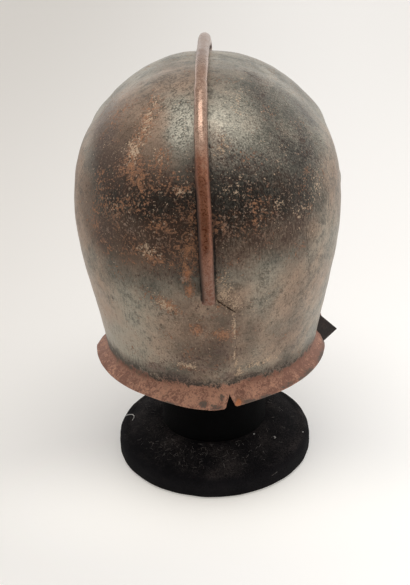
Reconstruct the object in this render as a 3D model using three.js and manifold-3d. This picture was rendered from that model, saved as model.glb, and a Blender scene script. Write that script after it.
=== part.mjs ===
import * as THREE from "three";
import { mergeVertices } from "three/addons/utils/BufferGeometryUtils.js";
import Module from "manifold-3d";

const wasm = await Module();
wasm.setup();

// Millimetres, +Z up, the face looks along +Y, origin at the centre of the stand's underside.

// Plate and pivot axis
const plate = 1.6;
const pivotY = 30;
const pivotZ = 233;

// Skull
const widestY = -5;
const templeTopZ = 250;
const templeBlend = 45;
const rearReach = 115;
const domeRise = 102.8;
const browZ = 252;
const neckZ = 113.5;
const rightInset = -0.5;
const leftInset = 1.1;
const insetSpan = 10;

// Level sections of the skull, from the neck to the crown
const skullRows = [
  { z: 113.5, half: 86.2, temple: 82.4, rear: 90.5, front: 60, shape: 2.0 },
  { z: 122, half: 87.4, temple: 83.9, rear: 92.6, front: 64, shape: 2.0 },
  { z: 145, half: 91.2, temple: 88.0, rear: 99.0, front: 78, shape: 2.02 },
  { z: 175, half: 96.7, temple: 93.6, rear: 107.2, front: 92, shape: 2.06 },
  { z: 205, half: 101.2, temple: 97.3, rear: 113.4, front: 100, shape: 2.1 },
  { z: 233, half: 102.8, temple: 98.2, rear: 115.0, front: 102.8, shape: 2.12 },
  { z: 240, half: 102.8, temple: 98.2, rear: 115.0, front: 102.8, shape: 2.12 },
  { z: 262, half: 102.8, temple: 98.2, rear: 115.0, front: 102.8, shape: 2.2 },
  { z: 282, half: 102.8, temple: 98.2, rear: 115.0, front: 102.8, shape: 2.26 },
  { z: 303, half: 102.8, temple: 98.2, rear: 115.0, front: 102.8, shape: 2.06 },
  { z: 318, half: 102.8, temple: 98.2, rear: 115.0, front: 102.8, shape: 2.03 },
  { z: 328, half: 102.8, temple: 98.2, rear: 115.0, front: 102.8, shape: 2.04 },
  { z: 336, half: 102.8, temple: 98.2, rear: 115.0, front: 102.8, shape: 2.14 },
];

// Edge of the skull beside the face, seen from the side
const faceEdge = [
  { z: 96, y: -3 },
  { z: 113.5, y: -1.5 },
  { z: 121, y: 2 },
  { z: 132, y: 13 },
  { z: 150, y: 21 },
  { z: 175, y: 28 },
  { z: 200, y: 37 },
  { z: 220, y: 47 },
  { z: 236, y: 55 },
  { z: 252, y: 64 },
];

// Neck flange: how far it stands out and drops, at the sides and at the nape or throat
const flangeOutSide = 7.8;
const flangeOutLeft = 9.6;
const flangeDropSide = 7.5;
const flangeOutEnd = 10.0;
const flangeDropEnd = 13.2;
const flangeCurve = 1.35;
const flangePoint = 20;
const flangeSlant = 0.16;
const flangeSlantFrom = 0.78;

// Lap of the left half over the right, below the comb
const lapReach = 19.6;
const lapLift = 2.1;
const lapEdgeLift = 1.2;
const lapEdgeSpan = 8;
const lapFade = 30;
const lapFullZ = 187.4;
const lapTopZ = 203.9;
const lapBlendZ = 217;

// Torn notch in the rear flange
const notchTip = { x: 15.4, z: 109.6 };
const notchLeft = { x: 8.2, z: 92 };
const notchRight = { x: 27.4, z: 92 };
const notchDepth = 60;

// Comb: the left half's edge rolled over the upright edge of the right half
const combHeight = 13.8;
const combHalf = 4.7;
const combWall = 1.5;
const combLeftFace = -2.6;
const combSlotLeft = -1.1;
const combSlotRight = 1.6;
const bladeLeft = -0.5;
const bladeRight = 0.9;
const combRoot = -1.2;
const combLift = 0.5;
const combRearZ = 199.6;
const combFrontDeg = 23;
const combRearEndHeight = 6.6;
const combFrontEndHeight = 6.0;
const combRearTaper = 45;
const combFrontTaper = 32;
const combStations = 30;
const combFlare = 3;
const combFlareLowZ = 262;
const combFlareHighZ = 302;
const bladeTrim = 6;

// The comb strays from the middle: to the right low on the back, to the left over the crown
const combStray = [
  { z: 130, x: 0 },
  { z: 180, x: 2.2 },
  { z: 199, x: 2.8 },
  { z: 229, x: 2.3 },
  { z: 251, x: 2.0 },
  { z: 276, x: 1.2 },
  { z: 289, x: 0.3 },
  { z: 304, x: -0.4 },
  { z: 336, x: -1.3 },
];
const frontStray = -0.2;
const frontStrayRun = 60;
const strayWide = 14;

// Visor
const visorArm = 16;
const visorTopZ = 262;
const visorLowZ = 180;
const visorShape = 2.26;
const visorRows = [
  { z: 180, side: 102.4, front: 104.0, keel: 3.0 },
  { z: 187, side: 103.0, front: 110.5, keel: 4.5 },
  { z: 198, side: 103.6, front: 118.5, keel: 6.5 },
  { z: 211, side: 103.8, front: 122.0, keel: 9.0 },
  { z: 225, side: 103.6, front: 115.5, keel: 12.0 },
  { z: 240, side: 103.6, front: 108.0, keel: 14.0 },
  { z: 251, side: 103.2, front: 105.3, keel: 14.6 },
  { z: 262, side: 99.4, front: 101.8, keel: 14.6 },
];
const keelHalf = 17.5;
const sightZ = 240;
const sightHigh = 7;
const sightInnerX = 15;
const sightOuterX = 84;
const breathCount = 6;
const breathHigh = 15;
const breathWide = 4;
const breathZ = 216.5;
const breathFirstX = 24;
const breathPitch = 8.5;
const cutFarY = 200;
const cutNearY = 60;

// Bevor
const bevorArm = 14;
const bevorShape = 2.26;
const bevorRows = [
  { z: 113.5, side: 86.6, front: 60, keel: 1.0 },
  { z: 130, side: 89.4, front: 66, keel: 1.5 },
  { z: 150, side: 93.4, front: 78, keel: 2.0 },
  { z: 175, side: 98.0, front: 97, keel: 2.0 },
  { z: 200, side: 100.9, front: 103.4, keel: 1.5 },
  { z: 215, side: 101.4, front: 105, keel: 1.0 },
  { z: 249, side: 101.4, front: 105, keel: 1.0 },
];

// Upper edge of the bevor ahead of the pivot, seen from the side
const bevorTop = [
  { y: 30, z: 247 },
  { y: 36, z: 245.6 },
  { y: 41, z: 241.8 },
  { y: 46, z: 234 },
  { y: 53, z: 222 },
  { y: 62, z: 213 },
  { y: 75, z: 208.6 },
  { y: 100, z: 208 },
  { y: 130, z: 208 },
];
const bevorNominalFront = 104;

// Pivot bolts
const boltRadius = 3;
const boltHole = 3.45;
const boltHeadRadius = 7.5;
const boltHeadUnder = 104.0;
const boltHeadTop = 106.4;
const boltInnerFace = 95.9;
const boltInnerEnd = 93.9;
const boltInnerRadius = 5.5;

// Closing strap: a band that follows the inner wall, then turns out past the flange's end
const strapWide = 18;
const strapThick = 2.4;
const strapWallX = 82.0;
const strapOutY = 11;
const strapTurn = 7;
const strapEndX = 99.2;
const strapEndZ = 98.6;
const strapSlope = (43 * Math.PI) / 180;
const strapRootRun = 12;
const rivetAlong = 9;
const rivetRadius = 4;
const rivetShank = 1.5;
const rivetHole = 1.9;
const rivetEndX = 85.5;
const rivetHead = 1.6;
const seatGap = 0.3;

// Stand
const baseRadius = 83;
const baseRimHigh = 20;
const baseRound = 9;
const baseFoot = 2;
const baseTopZ = 29;
const baseTopRadius = 48;
const neckRadius = 44.5;
const neckTopZ = 112;
const neckRound = 6;
const postRadius = 18;
const capRadius = 50;
const capSphere = 86;
const capTopZ = 333.8;
const capRim = 6;

const quarter = Math.PI / 2;
const lerp = (a, b, t) => a + (b - a) * t;
const clamp = (t) => Math.min(1, Math.max(0, t));
const smooth = (t) => clamp(t) ** 2 * (3 - 2 * clamp(t));

// Reads a column of a table at any place, along a smooth curve that does not overshoot
function read(rows, place, column, key = "z") {
  const last = rows.length - 1;
  const at = Math.min(rows[last][key], Math.max(rows[0][key], place));
  const i = Math.max(0, rows.findIndex((row) => row[key] >= at) - 1);
  const secant = (k) => (rows[k + 1][column] - rows[k][column]) / (rows[k + 1][key] - rows[k][key]);
  const slope = (k) => {
    if (k === 0) return secant(0);
    if (k === last) return secant(last - 1);
    const below = secant(k - 1);
    const above = secant(k);
    return below * above <= 0 ? 0 : (2 * below * above) / (below + above);
  };
  const span = rows[i + 1][key] - rows[i][key];
  const t = (at - rows[i][key]) / span;
  const ends = lerp(rows[i][column], rows[i + 1][column], t * t * (3 - 2 * t));
  return ends + span * t * (1 - t) * (slope(i) * (1 - t) - slope(i + 1) * t);
}

// Closed plate over a grid: a base surface, with an outer and an inner offset along its normal
function plateGeometry({ columns, rows, base, normalAt, outer, inner, keep = () => true, mirror = false }) {
  const points = [];
  const side = mirror ? -1 : 1;
  for (const layer of [outer, inner]) {
    for (const v of rows) {
      for (const u of columns) {
        const spot = base(u, v).addScaledVector(normalAt(u, v), layer(u, v));
        points.push(side * spot.x, spot.y, spot.z);
      }
    }
  }
  const wide = columns.length;
  const layerSize = wide * rows.length;
  const has = (i, j) => i >= 0 && j >= 0 && i < wide - 1 && j < rows.length - 1
    && keep((columns[i] + columns[i + 1]) / 2, (rows[j] + rows[j + 1]) / 2);
  const triangles = [];
  const quad = (a, b, c, d) => {
    if (mirror) triangles.push(a, c, b, a, d, c);
    else triangles.push(a, b, c, a, c, d);
  };
  for (let j = 0; j < rows.length - 1; j += 1) {
    for (let i = 0; i < wide - 1; i += 1) {
      if (!has(i, j)) continue;
      const a = j * wide + i;
      const b = a + 1;
      const c = a + wide + 1;
      const d = a + wide;
      quad(a, b, c, d);
      quad(d + layerSize, c + layerSize, b + layerSize, a + layerSize);
      if (!has(i, j - 1)) quad(a + layerSize, b + layerSize, b, a);
      if (!has(i, j + 1)) quad(d, c, c + layerSize, d + layerSize);
      if (!has(i - 1, j)) quad(d + layerSize, a + layerSize, a, d);
      if (!has(i + 1, j)) quad(b + layerSize, c + layerSize, c, b);
    }
  }
  const geometry = new THREE.BufferGeometry();
  geometry.setAttribute("position", new THREE.Float32BufferAttribute(points, 3));
  geometry.setIndex(triangles);
  return geometry;
}

function normalOf(base, uRange, vRange) {
  const step = 0.002;
  return (u, v) => {
    const u0 = Math.max(uRange[0], u - step);
    const u1 = Math.min(uRange[1], u + step);
    const v0 = Math.max(vRange[0], v - step);
    const v1 = Math.min(vRange[1], v + step);
    const along = base(u1, v).sub(base(u0, v));
    const up = base(u, v1).sub(base(u, v0));
    return along.cross(up).normalize();
  };
}

// Joins equal points, drops empty triangles and hands the piece over for cutting and joining
function solidOf(geometry) {
  const bare = geometry.clone();
  bare.deleteAttribute("normal");
  bare.deleteAttribute("uv");
  const merged = mergeVertices(bare, 1e-3);
  const index = merged.index.array;
  const kept = [];
  for (let i = 0; i < index.length; i += 3) {
    const [a, b, c] = [index[i], index[i + 1], index[i + 2]];
    if (a !== b && b !== c && c !== a) kept.push(a, b, c);
  }
  return new wasm.Manifold(new wasm.Mesh({
    numProp: 3,
    vertProperties: new Float32Array(merged.attributes.position.array),
    triVerts: new Uint32Array(kept),
  }));
}

function geometryOf(solid) {
  const mesh = solid.getMesh();
  const geometry = new THREE.BufferGeometry();
  geometry.setAttribute("position", new THREE.BufferAttribute(new Float32Array(mesh.vertProperties), 3));
  geometry.setIndex(new THREE.BufferAttribute(new Uint32Array(mesh.triVerts), 1));
  geometry.computeVertexNormals();
  return geometry;
}

const steps = (from, to, count) => Array.from({ length: count + 1 }, (_, i) => lerp(from, to, i / count));

function pivotHole() {
  const hole = new THREE.CylinderGeometry(boltHole, boltHole, 240, 20);
  hole.rotateZ(quarter);
  hole.translate(0, pivotY, pivotZ);
  return solidOf(hole);
}

// Skull

function skullSection(z) {
  const level = { lift: clamp((z - pivotZ) / domeRise) };
  for (const column of ["half", "temple", "rear", "front", "shape"]) {
    level[column] = read(skullRows, z, column);
  }
  const k = Math.sqrt(1 - level.lift ** 2);
  level.rear *= k;
  level.front *= k;
  level.temple = lerp(level.temple, level.half, smooth((z - templeTopZ) / templeBlend));
  return level;
}

// Plan outline: turn 0 at the nape, 1 at the widest place, 2 beside the pivot, 3 at the brow
function planPoint(level, turn) {
  if (turn < 0) return planPoint(level, -turn).multiply(new THREE.Vector2(-1, 1));
  const swell = (reach) => {
    const far = Math.min(1, Math.hypot(reach * Math.sqrt(1 - level.lift ** 2), level.lift));
    return (1 - far ** level.shape) ** (1 / level.shape);
  };
  if (turn < 1) {
    const reach = Math.cos(turn * quarter);
    return new THREE.Vector2(level.half * swell(reach), widestY - level.rear * reach);
  }
  if (turn < 2) {
    const x = lerp(level.half, level.temple, smooth(turn - 1)) * swell(0);
    return new THREE.Vector2(x, lerp(widestY, pivotY, turn - 1));
  }
  const reach = Math.sin((turn - 2) * quarter);
  return new THREE.Vector2(level.temple * swell(reach), pivotY + level.front * reach);
}

function edgeTurn(z) {
  const y = read(faceEdge, z, "y");
  if (y <= pivotY) return 1 + (y - widestY) / (pivotY - widestY);
  return 2 + Math.asin((y - pivotY) / skullSection(z).front) / quarter;
}

// Rows run from 0 at the flange's rim to 1 at the neck, 2 at the brow's level and 3 at the crown
const crownDeg = (v) => lerp(Math.asin((browZ - pivotZ) / domeRise), quarter, v - 2);
const rowZ = (v) => {
  if (v <= 2) return lerp(neckZ, browZ, Math.max(0, v - 1));
  return pivotZ + domeRise * Math.sin(crownDeg(v));
};

// How near a place in plan is to the nape or throat, 0 at the sides
const endShare = (turn) => Math.cos(Math.min(Math.abs(turn), 1) * quarter);

function flangeShape(end, sideOut = flangeOutSide) {
  const pointed = end ** flangePoint;
  return {
    out: lerp(sideOut, flangeOutEnd, end),
    drop: lerp(flangeDropSide, flangeDropEnd, pointed),
  };
}

function skullBase(turnAt, insetAt, sideOut) {
  return (u, v) => {
    const z = rowZ(v);
    const level = skullSection(z);
    const cutBack = flangeSlant * clamp(1 - v) * smooth((u - flangeSlantFrom) / (1 - flangeSlantFrom));
    const turn = turnAt(u, z) - cutBack;
    const plan = planPoint(level, turn);
    const spot = new THREE.Vector3(plan.x, plan.y, z);
    if (v < 1) {
      const ahead = planPoint(level, turn + 0.01).sub(planPoint(level, turn - 0.01)).normalize();
      const flange = flangeShape(endShare(turn), sideOut);
      const share = 1 - v;
      spot.x += ahead.y * flange.out * share ** flangeCurve;
      spot.y -= ahead.x * flange.out * share ** flangeCurve;
      spot.z -= flange.drop * share;
    }
    spot.x += insetAt(z) * Math.exp(-Math.abs(spot.x) / insetSpan);
    return spot;
  };
}

const lapAt = (z) => lapReach * (1 - clamp((z - lapFullZ) / (lapTopZ - lapFullZ)));
const startTurn = (z, reach) => (reach === 0 ? 0 : -reach / (skullSection(z).half * quarter));

function turnFrom(reachAt) {
  return (u, z) => {
    const edge = edgeTurn(Math.min(z, browZ));
    return u <= 1 ? lerp(startTurn(z, reachAt(z)), edge, u) : lerp(edge, 3, u - 1);
  };
}

const skullColumns = [...steps(0, 1, 15), ...steps(1, 2, 9).slice(1)];
const wallHeights = [130, 148, 168, lapFullZ, lapTopZ, lapBlendZ, 234.5, browZ];
const wallRows = wallHeights.map((z) => 1 + (z - neckZ) / (browZ - neckZ));
const skullGridRows = [...steps(0, 1, 3), ...wallRows, ...steps(2, 3, 9).slice(1)];

function skullHalfSolid({ reachAt, insetAt, liftAt, thinAt, sideOut, mirror }) {
  const turnAt = turnFrom(reachAt);
  const base = skullBase(turnAt, insetAt, sideOut);
  const slope = normalOf(base, [0, 2], [0, 3]);
  const up = new THREE.Vector3(0, 0, 1);
  const place = (u, v) => [turnAt(u, rowZ(v)) * skullSection(rowZ(v)).half * quarter, rowZ(v)];
  return solidOf(plateGeometry({
    columns: skullColumns,
    rows: skullGridRows,
    base,
    normalAt: (u, v) => (v > 2.999 ? up : slope(u, v)),
    outer: (u, v) => liftAt(...place(u, v)),
    inner: (u, v) => liftAt(...place(u, v)) - plate + thinAt(...place(u, v)),
    keep: (u, v) => u < 1 || v > 2,
    mirror,
  }));
}

const lapHold = (z) => 1 - smooth((z - lapTopZ) / (lapBlendZ - lapTopZ));
const lapShare = (along, z) => lapHold(z) * (1 - smooth(along / lapFade));
const lapThin = (along, z) => {
  const fromEdge = along + lapAt(z);
  const thinned = (lapLift - lapEdgeLift) * (1 - smooth(fromEdge / lapEdgeSpan));
  return lapShare(along, z) * thinned * (lapAt(z) / lapReach);
};

// Comb

function combPath() {
  const path = [];
  for (const z of steps(combRearZ, pivotZ, 8)) {
    path.push(new THREE.Vector3(0, widestY - skullSection(z).rear, z));
  }
  for (const a of steps(0, quarter, 24).slice(1)) {
    path.push(new THREE.Vector3(0, widestY - rearReach * Math.cos(a), pivotZ + domeRise * Math.sin(a)));
  }
  for (const y of steps(widestY, pivotY, 6).slice(1)) {
    path.push(new THREE.Vector3(0, y, pivotZ + domeRise));
  }
  for (const a of steps(quarter, (combFrontDeg * Math.PI) / 180, 16).slice(1)) {
    path.push(new THREE.Vector3(0, pivotY + domeRise * Math.cos(a), pivotZ + domeRise * Math.sin(a)));
  }
  return new THREE.CatmullRomCurve3(path, false, "centripetal");
}

function combHeightAt(fromRear, fromFront) {
  const rear = lerp(combRearEndHeight, combHeight, smooth(fromRear / combRearTaper));
  const front = lerp(combFrontEndHeight, combHeight, smooth(fromFront / combFrontTaper));
  return Math.min(rear, front);
}

// How far the left face spreads at its foot, over the crown and not at the comb's ends
function combFlareAt(z, fromFront) {
  const risen = smooth((z - combFlareLowZ) / (combFlareHighZ - combFlareLowZ));
  return combFlare * risen * smooth(fromFront / combFrontTaper);
}

// The rolled edge in section: up the left face, round over the top and back inside the roll
function rollSection(height, lift, flare) {
  const tall = Math.min(combHalf, (height - combLift) / 2);
  const mid = height - tall;
  const arc = (halfWide, halfTall, from, to, count) => steps(from, to, count).map((a) => (
    new THREE.Vector2(halfWide * Math.cos(a), mid + halfTall * Math.sin(a))));
  const leftOut = Math.PI + Math.acos(-combLeftFace / combHalf);
  const rightOut = -Math.acos(combSlotRight / combHalf);
  const innerHalf = combHalf - combWall;
  const leftIn = Math.PI + Math.acos(-combSlotLeft / innerHalf);
  const rightIn = -Math.acos((combSlotRight * 0.9) / innerHalf);
  return [
    new THREE.Vector2(combLeftFace - flare, combRoot + lift),
    ...arc(combHalf, tall, leftOut, rightOut, 8),
    ...arc(innerHalf, tall - combWall, rightIn, leftIn, 5),
    new THREE.Vector2(combSlotLeft, combRoot + lift),
  ].reverse();
}

function bladeSection(height) {
  const tall = Math.min(combHalf, (height - combLift) / 2);
  const top = height - tall;
  return [
    new THREE.Vector2(bladeLeft, combRoot),
    new THREE.Vector2(bladeRight, combRoot),
    new THREE.Vector2(bladeRight, top),
    new THREE.Vector2(bladeLeft, top),
  ];
}

function combSolid(sectionAt, trim) {
  const path = combPath();
  const length = path.getLength();
  const points = [];
  const triangles = [];
  let count = 0;
  for (let k = 0; k <= combStations; k += 1) {
    const along = lerp(trim, length - trim, k / combStations);
    const spot = path.getPointAt(along / length);
    const ahead = path.getTangentAt(along / length);
    const out = new THREE.Vector3(0, -ahead.z, ahead.y);
    const flare = combFlareAt(spot.z, length - along);
    const section = sectionAt(combHeightAt(along, length - along), lapLift * lapHold(spot.z), flare);
    count = section.length;
    for (const p of section) {
      points.push(p.x, spot.y + out.y * p.y, spot.z + out.z * p.y);
    }
  }
  const wrap = (i) => i % count;
  for (let k = 0; k < combStations; k += 1) {
    for (let i = 0; i < count; i += 1) {
      const a = k * count + i;
      const b = k * count + wrap(i + 1);
      triangles.push(a, b + count, b, a, a + count, b + count);
    }
  }
  const flat = sectionAt(combRearEndHeight, 0, 0);
  for (const [p, q, r] of THREE.ShapeUtils.triangulateShape(flat, [])) {
    const far = combStations * count;
    triangles.push(p, q, r, far + p, far + r, far + q);
  }
  const geometry = new THREE.BufferGeometry();
  geometry.setAttribute("position", new THREE.Float32BufferAttribute(points, 3));
  geometry.setIndex(triangles);
  return solidOf(geometry);
}

// Carries the comb and the plates' edges beside it sideways
function strayed(solid) {
  return solid.warp((p) => {
    const back = p[1] < widestY ? read(combStray, p[2], "x") : combStray[combStray.length - 1].x;
    const front = frontStray * smooth((p[1] - widestY) / frontStrayRun);
    p[0] += (back + front) * Math.exp(-((p[0] / strayWide) ** 2));
  });
}

function notchSolid() {
  const corners = [notchTip, notchRight, notchLeft].map((p) => new THREE.Vector2(p.x, p.z));
  const outline = new THREE.Shape(corners);
  const wedge = new THREE.ExtrudeGeometry(outline, { depth: notchDepth, bevelEnabled: false });
  wedge.rotateX(quarter);
  wedge.translate(0, widestY - rearReach + notchDepth, 0);
  return solidOf(wedge);
}

function skullRight() {
  const shell = skullHalfSolid({
    reachAt: () => 0,
    insetAt: () => rightInset,
    liftAt: () => 0,
    thinAt: () => 0,
    sideOut: flangeOutSide,
    mirror: false,
  });
  const joined = strayed(shell.add(combSolid(bladeSection, bladeTrim)));
  return joined.subtract(pivotHole()).subtract(notchSolid());
}

function skullLeft() {
  const shell = skullHalfSolid({
    reachAt: lapAt,
    insetAt: (z) => leftInset * (1 - lapAt(z) / lapReach),
    liftAt: (along, z) => lapLift * lapShare(along, z) - lapThin(along, z),
    thinAt: lapThin,
    sideOut: flangeOutLeft,
    mirror: true,
  });
  return strayed(shell.add(combSolid(rollSection, 0))).subtract(pivotHole()).subtract(notchSolid());
}

// Visor and bevor: turn 0 at the arm's end, 1 beside the pivot, 2 at the middle of the face

function facePlan(side, front, shape, turn) {
  const a = (turn - 1) * quarter;
  return new THREE.Vector2(side * Math.cos(a) ** (2 / shape), pivotY + front * Math.sin(a) ** (2 / shape));
}

const keelShare = (x) => (Math.abs(x) < keelHalf ? 0.5 * (1 + Math.cos((Math.PI * x) / keelHalf)) : 0);

function visorBase(turn, v) {
  if (turn > 2) return visorBase(4 - turn, v).multiply(new THREE.Vector3(-1, 1, 1));
  if (turn < 1) {
    const a = lerp(0.14, 1, turn) * quarter;
    const z = pivotZ + visorArm * Math.sin(a) * (2 * v - 1);
    return new THREE.Vector3(read(visorRows, z, "side"), pivotY - visorArm * Math.cos(a), z);
  }
  const swell = Math.sin((turn - 1) * quarter);
  const low = lerp(pivotZ - visorArm, visorLowZ, swell ** 1.2);
  const high = lerp(pivotZ + visorArm, visorTopZ, swell);
  const z = lerp(low, high, v);
  const plan = facePlan(read(visorRows, z, "side"), read(visorRows, z, "front"), visorShape, turn);
  return new THREE.Vector3(plan.x, plan.y + read(visorRows, z, "keel") * keelShare(plan.x), z);
}

const bothSides = (half) => [...half, ...half.slice(0, -1).reverse().map((turn) => 4 - turn)];
const faceTurn = (deg) => 1 + deg / 90;
const visorTurns = [0, 4, 9, 16, 25, 35, 45, 54, 62, 69, 75, 80, 84.2, 85.7, 87.3, 88.75, 90].map(faceTurn);
const bevorTurns = [0, 3, 6, 10, 15, 22, 31, 41, 51, 61, 71, 80, 86, 90].map(faceTurn);
const armTurns = [0, 0.3, 0.65];

function slotCut(x, z, wide, high) {
  const slot = new THREE.BoxGeometry(wide, cutFarY - cutNearY, high);
  slot.translate(x, (cutFarY + cutNearY) / 2, z);
  return solidOf(slot);
}

function visorSolid() {
  const base = visorBase;
  let shell = solidOf(plateGeometry({
    columns: bothSides([...armTurns, ...visorTurns]),
    rows: steps(0, 1, 8),
    base,
    normalAt: normalOf(base, [0, 4], [0, 1]),
    outer: () => 0,
    inner: () => -plate,
  })).subtract(pivotHole());
  for (const side of [-1, 1]) {
    const sightWide = sightOuterX - sightInnerX;
    shell = shell.subtract(slotCut(side * (sightInnerX + sightWide / 2), sightZ, sightWide, sightHigh));
    for (let i = 0; i < breathCount; i += 1) {
      const x = side * (breathFirstX + i * breathPitch);
      shell = shell.subtract(slotCut(x, breathZ, breathWide, breathHigh));
    }
  }
  return shell;
}

function bevorBase(turn, v) {
  if (turn > 2) return bevorBase(4 - turn, v).multiply(new THREE.Vector3(-1, 1, 1));
  const rise = Math.max(0, v - 1);
  const share = Math.max(0, 1 - v);
  const spot = new THREE.Vector3();
  const outward = new THREE.Vector2(1, 0);
  if (turn < 1) {
    const a = lerp(0.1, 1, turn) * quarter;
    spot.z = lerp(neckZ, pivotZ + bevorArm * Math.sin(a), rise);
    spot.x = read(bevorRows, spot.z, "side");
    spot.y = pivotY - bevorArm * Math.cos(a);
  } else {
    const nominal = facePlan(1, bevorNominalFront, bevorShape, turn).y;
    spot.z = lerp(neckZ, read(bevorTop, nominal, "z", "y"), rise);
    const side = read(bevorRows, spot.z, "side");
    const front = read(bevorRows, spot.z, "front");
    const at = (t) => facePlan(side, front, bevorShape, t);
    const plan = at(turn);
    const ahead = at(Math.min(2, turn + 0.01)).sub(at(Math.max(1, turn - 0.01))).normalize();
    outward.set(ahead.y, -ahead.x);
    spot.x = plan.x;
    spot.y = plan.y + read(bevorRows, spot.z, "keel") * keelShare(plan.x / 2);
  }
  const flange = flangeShape(turn < 1 ? 0 : Math.sin((turn - 1) * quarter) ** 2);
  const bend = flange.out * share ** flangeCurve * (turn < 1 ? smooth(turn) : 1);
  spot.x += outward.x * bend;
  spot.y += outward.y * bend;
  spot.z -= flange.drop * share;
  return spot;
}

function bevorSolid() {
  return solidOf(plateGeometry({
    columns: bothSides([...armTurns, ...bevorTurns]),
    rows: [...steps(0, 1, 3), ...steps(1, 2, 9).slice(1)],
    base: bevorBase,
    normalAt: normalOf(bevorBase, [0, 4], [0, 2]),
    outer: () => 0,
    inner: () => -plate,
  })).subtract(pivotHole());
}

// Pivot bolt: turned in one piece, with its head outside and its burr inside
function boltGeometry(side) {
  const dome = steps(0, 1, 4).map((t) => new THREE.Vector2(
    boltHeadRadius * Math.cos(t * quarter),
    boltHeadUnder + 0.6 + (boltHeadTop - boltHeadUnder - 0.6) * Math.sin(t * quarter),
  ));
  dome[dome.length - 1].x = 0;
  const profile = [
    new THREE.Vector2(0, boltInnerEnd),
    new THREE.Vector2(boltInnerRadius, boltInnerEnd),
    new THREE.Vector2(boltInnerRadius, boltInnerFace),
    new THREE.Vector2(boltRadius, boltInnerFace),
    new THREE.Vector2(boltRadius, boltHeadUnder),
    new THREE.Vector2(boltHeadRadius, boltHeadUnder),
    ...dome,
  ];
  const bolt = new THREE.LatheGeometry(profile, 14);
  bolt.rotateZ(-side * quarter);
  bolt.translate(0, pivotY, pivotZ);
  return geometryOf(solidOf(bolt));
}

// Strap, laid out flat as a length and a width on the path that it takes in plan
const strapArc = strapTurn * quarter;
const strapFlat = strapRootRun + strapArc + strapEndX - strapWallX - strapTurn;
const strapLength = strapFlat / Math.cos(strapSlope);

function strapPlan(along) {
  const turnY = strapOutY - strapTurn;
  if (along < strapRootRun) return new THREE.Vector2(strapWallX, turnY - strapRootRun + along);
  if (along < strapRootRun + strapArc) {
    const a = (along - strapRootRun) / strapTurn;
    return new THREE.Vector2(strapWallX + strapTurn * (1 - Math.cos(a)), turnY + strapTurn * Math.sin(a));
  }
  return new THREE.Vector2(strapWallX + strapTurn + along - strapRootRun - strapArc, strapOutY);
}

function strapBase(u, v) {
  const length = u * strapLength;
  const across = (v - 0.5) * strapWide;
  const plan = strapPlan(length * Math.cos(strapSlope) + across * Math.sin(strapSlope));
  const z = strapEndZ + (strapLength - length) * Math.sin(strapSlope) + across * Math.cos(strapSlope);
  return new THREE.Vector3(plan.x, plan.y, z);
}

function rivetPlace() {
  return strapBase(rivetAlong / strapLength, 0.5);
}

function strapSolid() {
  const hole = new THREE.CylinderGeometry(rivetHole, rivetHole, 20, 12);
  const place = rivetPlace();
  hole.rotateZ(quarter);
  hole.translate(place.x, place.y, place.z);
  return solidOf(plateGeometry({
    columns: steps(0, 1, 16),
    rows: steps(0, 1, 4),
    base: strapBase,
    normalAt: normalOf(strapBase, [0, 1], [0, 1]),
    outer: () => strapThick / 2,
    inner: () => -strapThick / 2,
  })).subtract(solidOf(hole));
}

function rivetGeometry() {
  const place = rivetPlace();
  const seat = place.x - strapThick / 2 - seatGap;
  const profile = [
    new THREE.Vector2(0, rivetEndX - seat),
    new THREE.Vector2(rivetShank, rivetEndX - seat),
    new THREE.Vector2(rivetShank, 0),
    new THREE.Vector2(rivetRadius, 0),
    new THREE.Vector2(rivetRadius * 0.75, -rivetHead * 0.7),
    new THREE.Vector2(0, -rivetHead),
  ].reverse();
  const rivet = new THREE.LatheGeometry(profile, 12);
  rivet.rotateZ(-quarter);
  rivet.translate(seat, place.y, place.z);
  return geometryOf(solidOf(rivet));
}

// Stand

function latheGeometry(profile, sides) {
  const turned = new THREE.LatheGeometry(profile.map(([r, z]) => new THREE.Vector2(r, z)), sides);
  turned.rotateX(quarter);
  return geometryOf(solidOf(turned));
}

function baseGeometry() {
  const edge = steps(0, quarter, 5).map((a) => [
    baseRadius - baseRound * (1 - Math.cos(a)),
    baseRimHigh - baseRound * (1 - Math.sin(a)),
  ]);
  const crown = steps(0, 1, 4).slice(1).map((t) => [
    lerp(baseRadius - baseRound, baseTopRadius, t),
    lerp(baseRimHigh, baseTopZ, Math.sin(t * quarter)),
  ]);
  return latheGeometry([
    [0, 0], [baseRadius - baseFoot, 0], [baseRadius, baseFoot], ...edge, ...crown, [0, baseTopZ],
  ], 32);
}

function neckGeometry() {
  return latheGeometry([
    [0, baseTopZ], [neckRadius, baseTopZ], [neckRadius, neckTopZ - neckRound],
    [neckRadius - neckRound * 0.3, neckTopZ - neckRound * 0.3],
    [neckRadius - neckRound, neckTopZ], [0, neckTopZ],
  ], 32);
}

function postGeometry() {
  const dome = steps(Math.asin(capRadius / capSphere), 0, 5).map((a) => [
    capSphere * Math.sin(a), capTopZ - capSphere * (1 - Math.cos(a)),
  ]);
  const [, rimZ] = dome[0];
  dome[dome.length - 1][0] = 0;
  return latheGeometry([
    [0, neckTopZ], [postRadius, neckTopZ], [postRadius, rimZ - 3 * capRim],
    [capRadius - capRim, rimZ - 1.6 * capRim], [capRadius, rimZ - capRim], ...dome,
  ], 32);
}

// The assembly

const armet = new THREE.Group();
armet.name = "armet_on_stand";

function place(name, geometry, color, roughness, metalness) {
  const mesh = new THREE.Mesh(geometry, new THREE.MeshStandardMaterial({ color, roughness, metalness }));
  mesh.name = name;
  armet.add(mesh);
}

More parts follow.
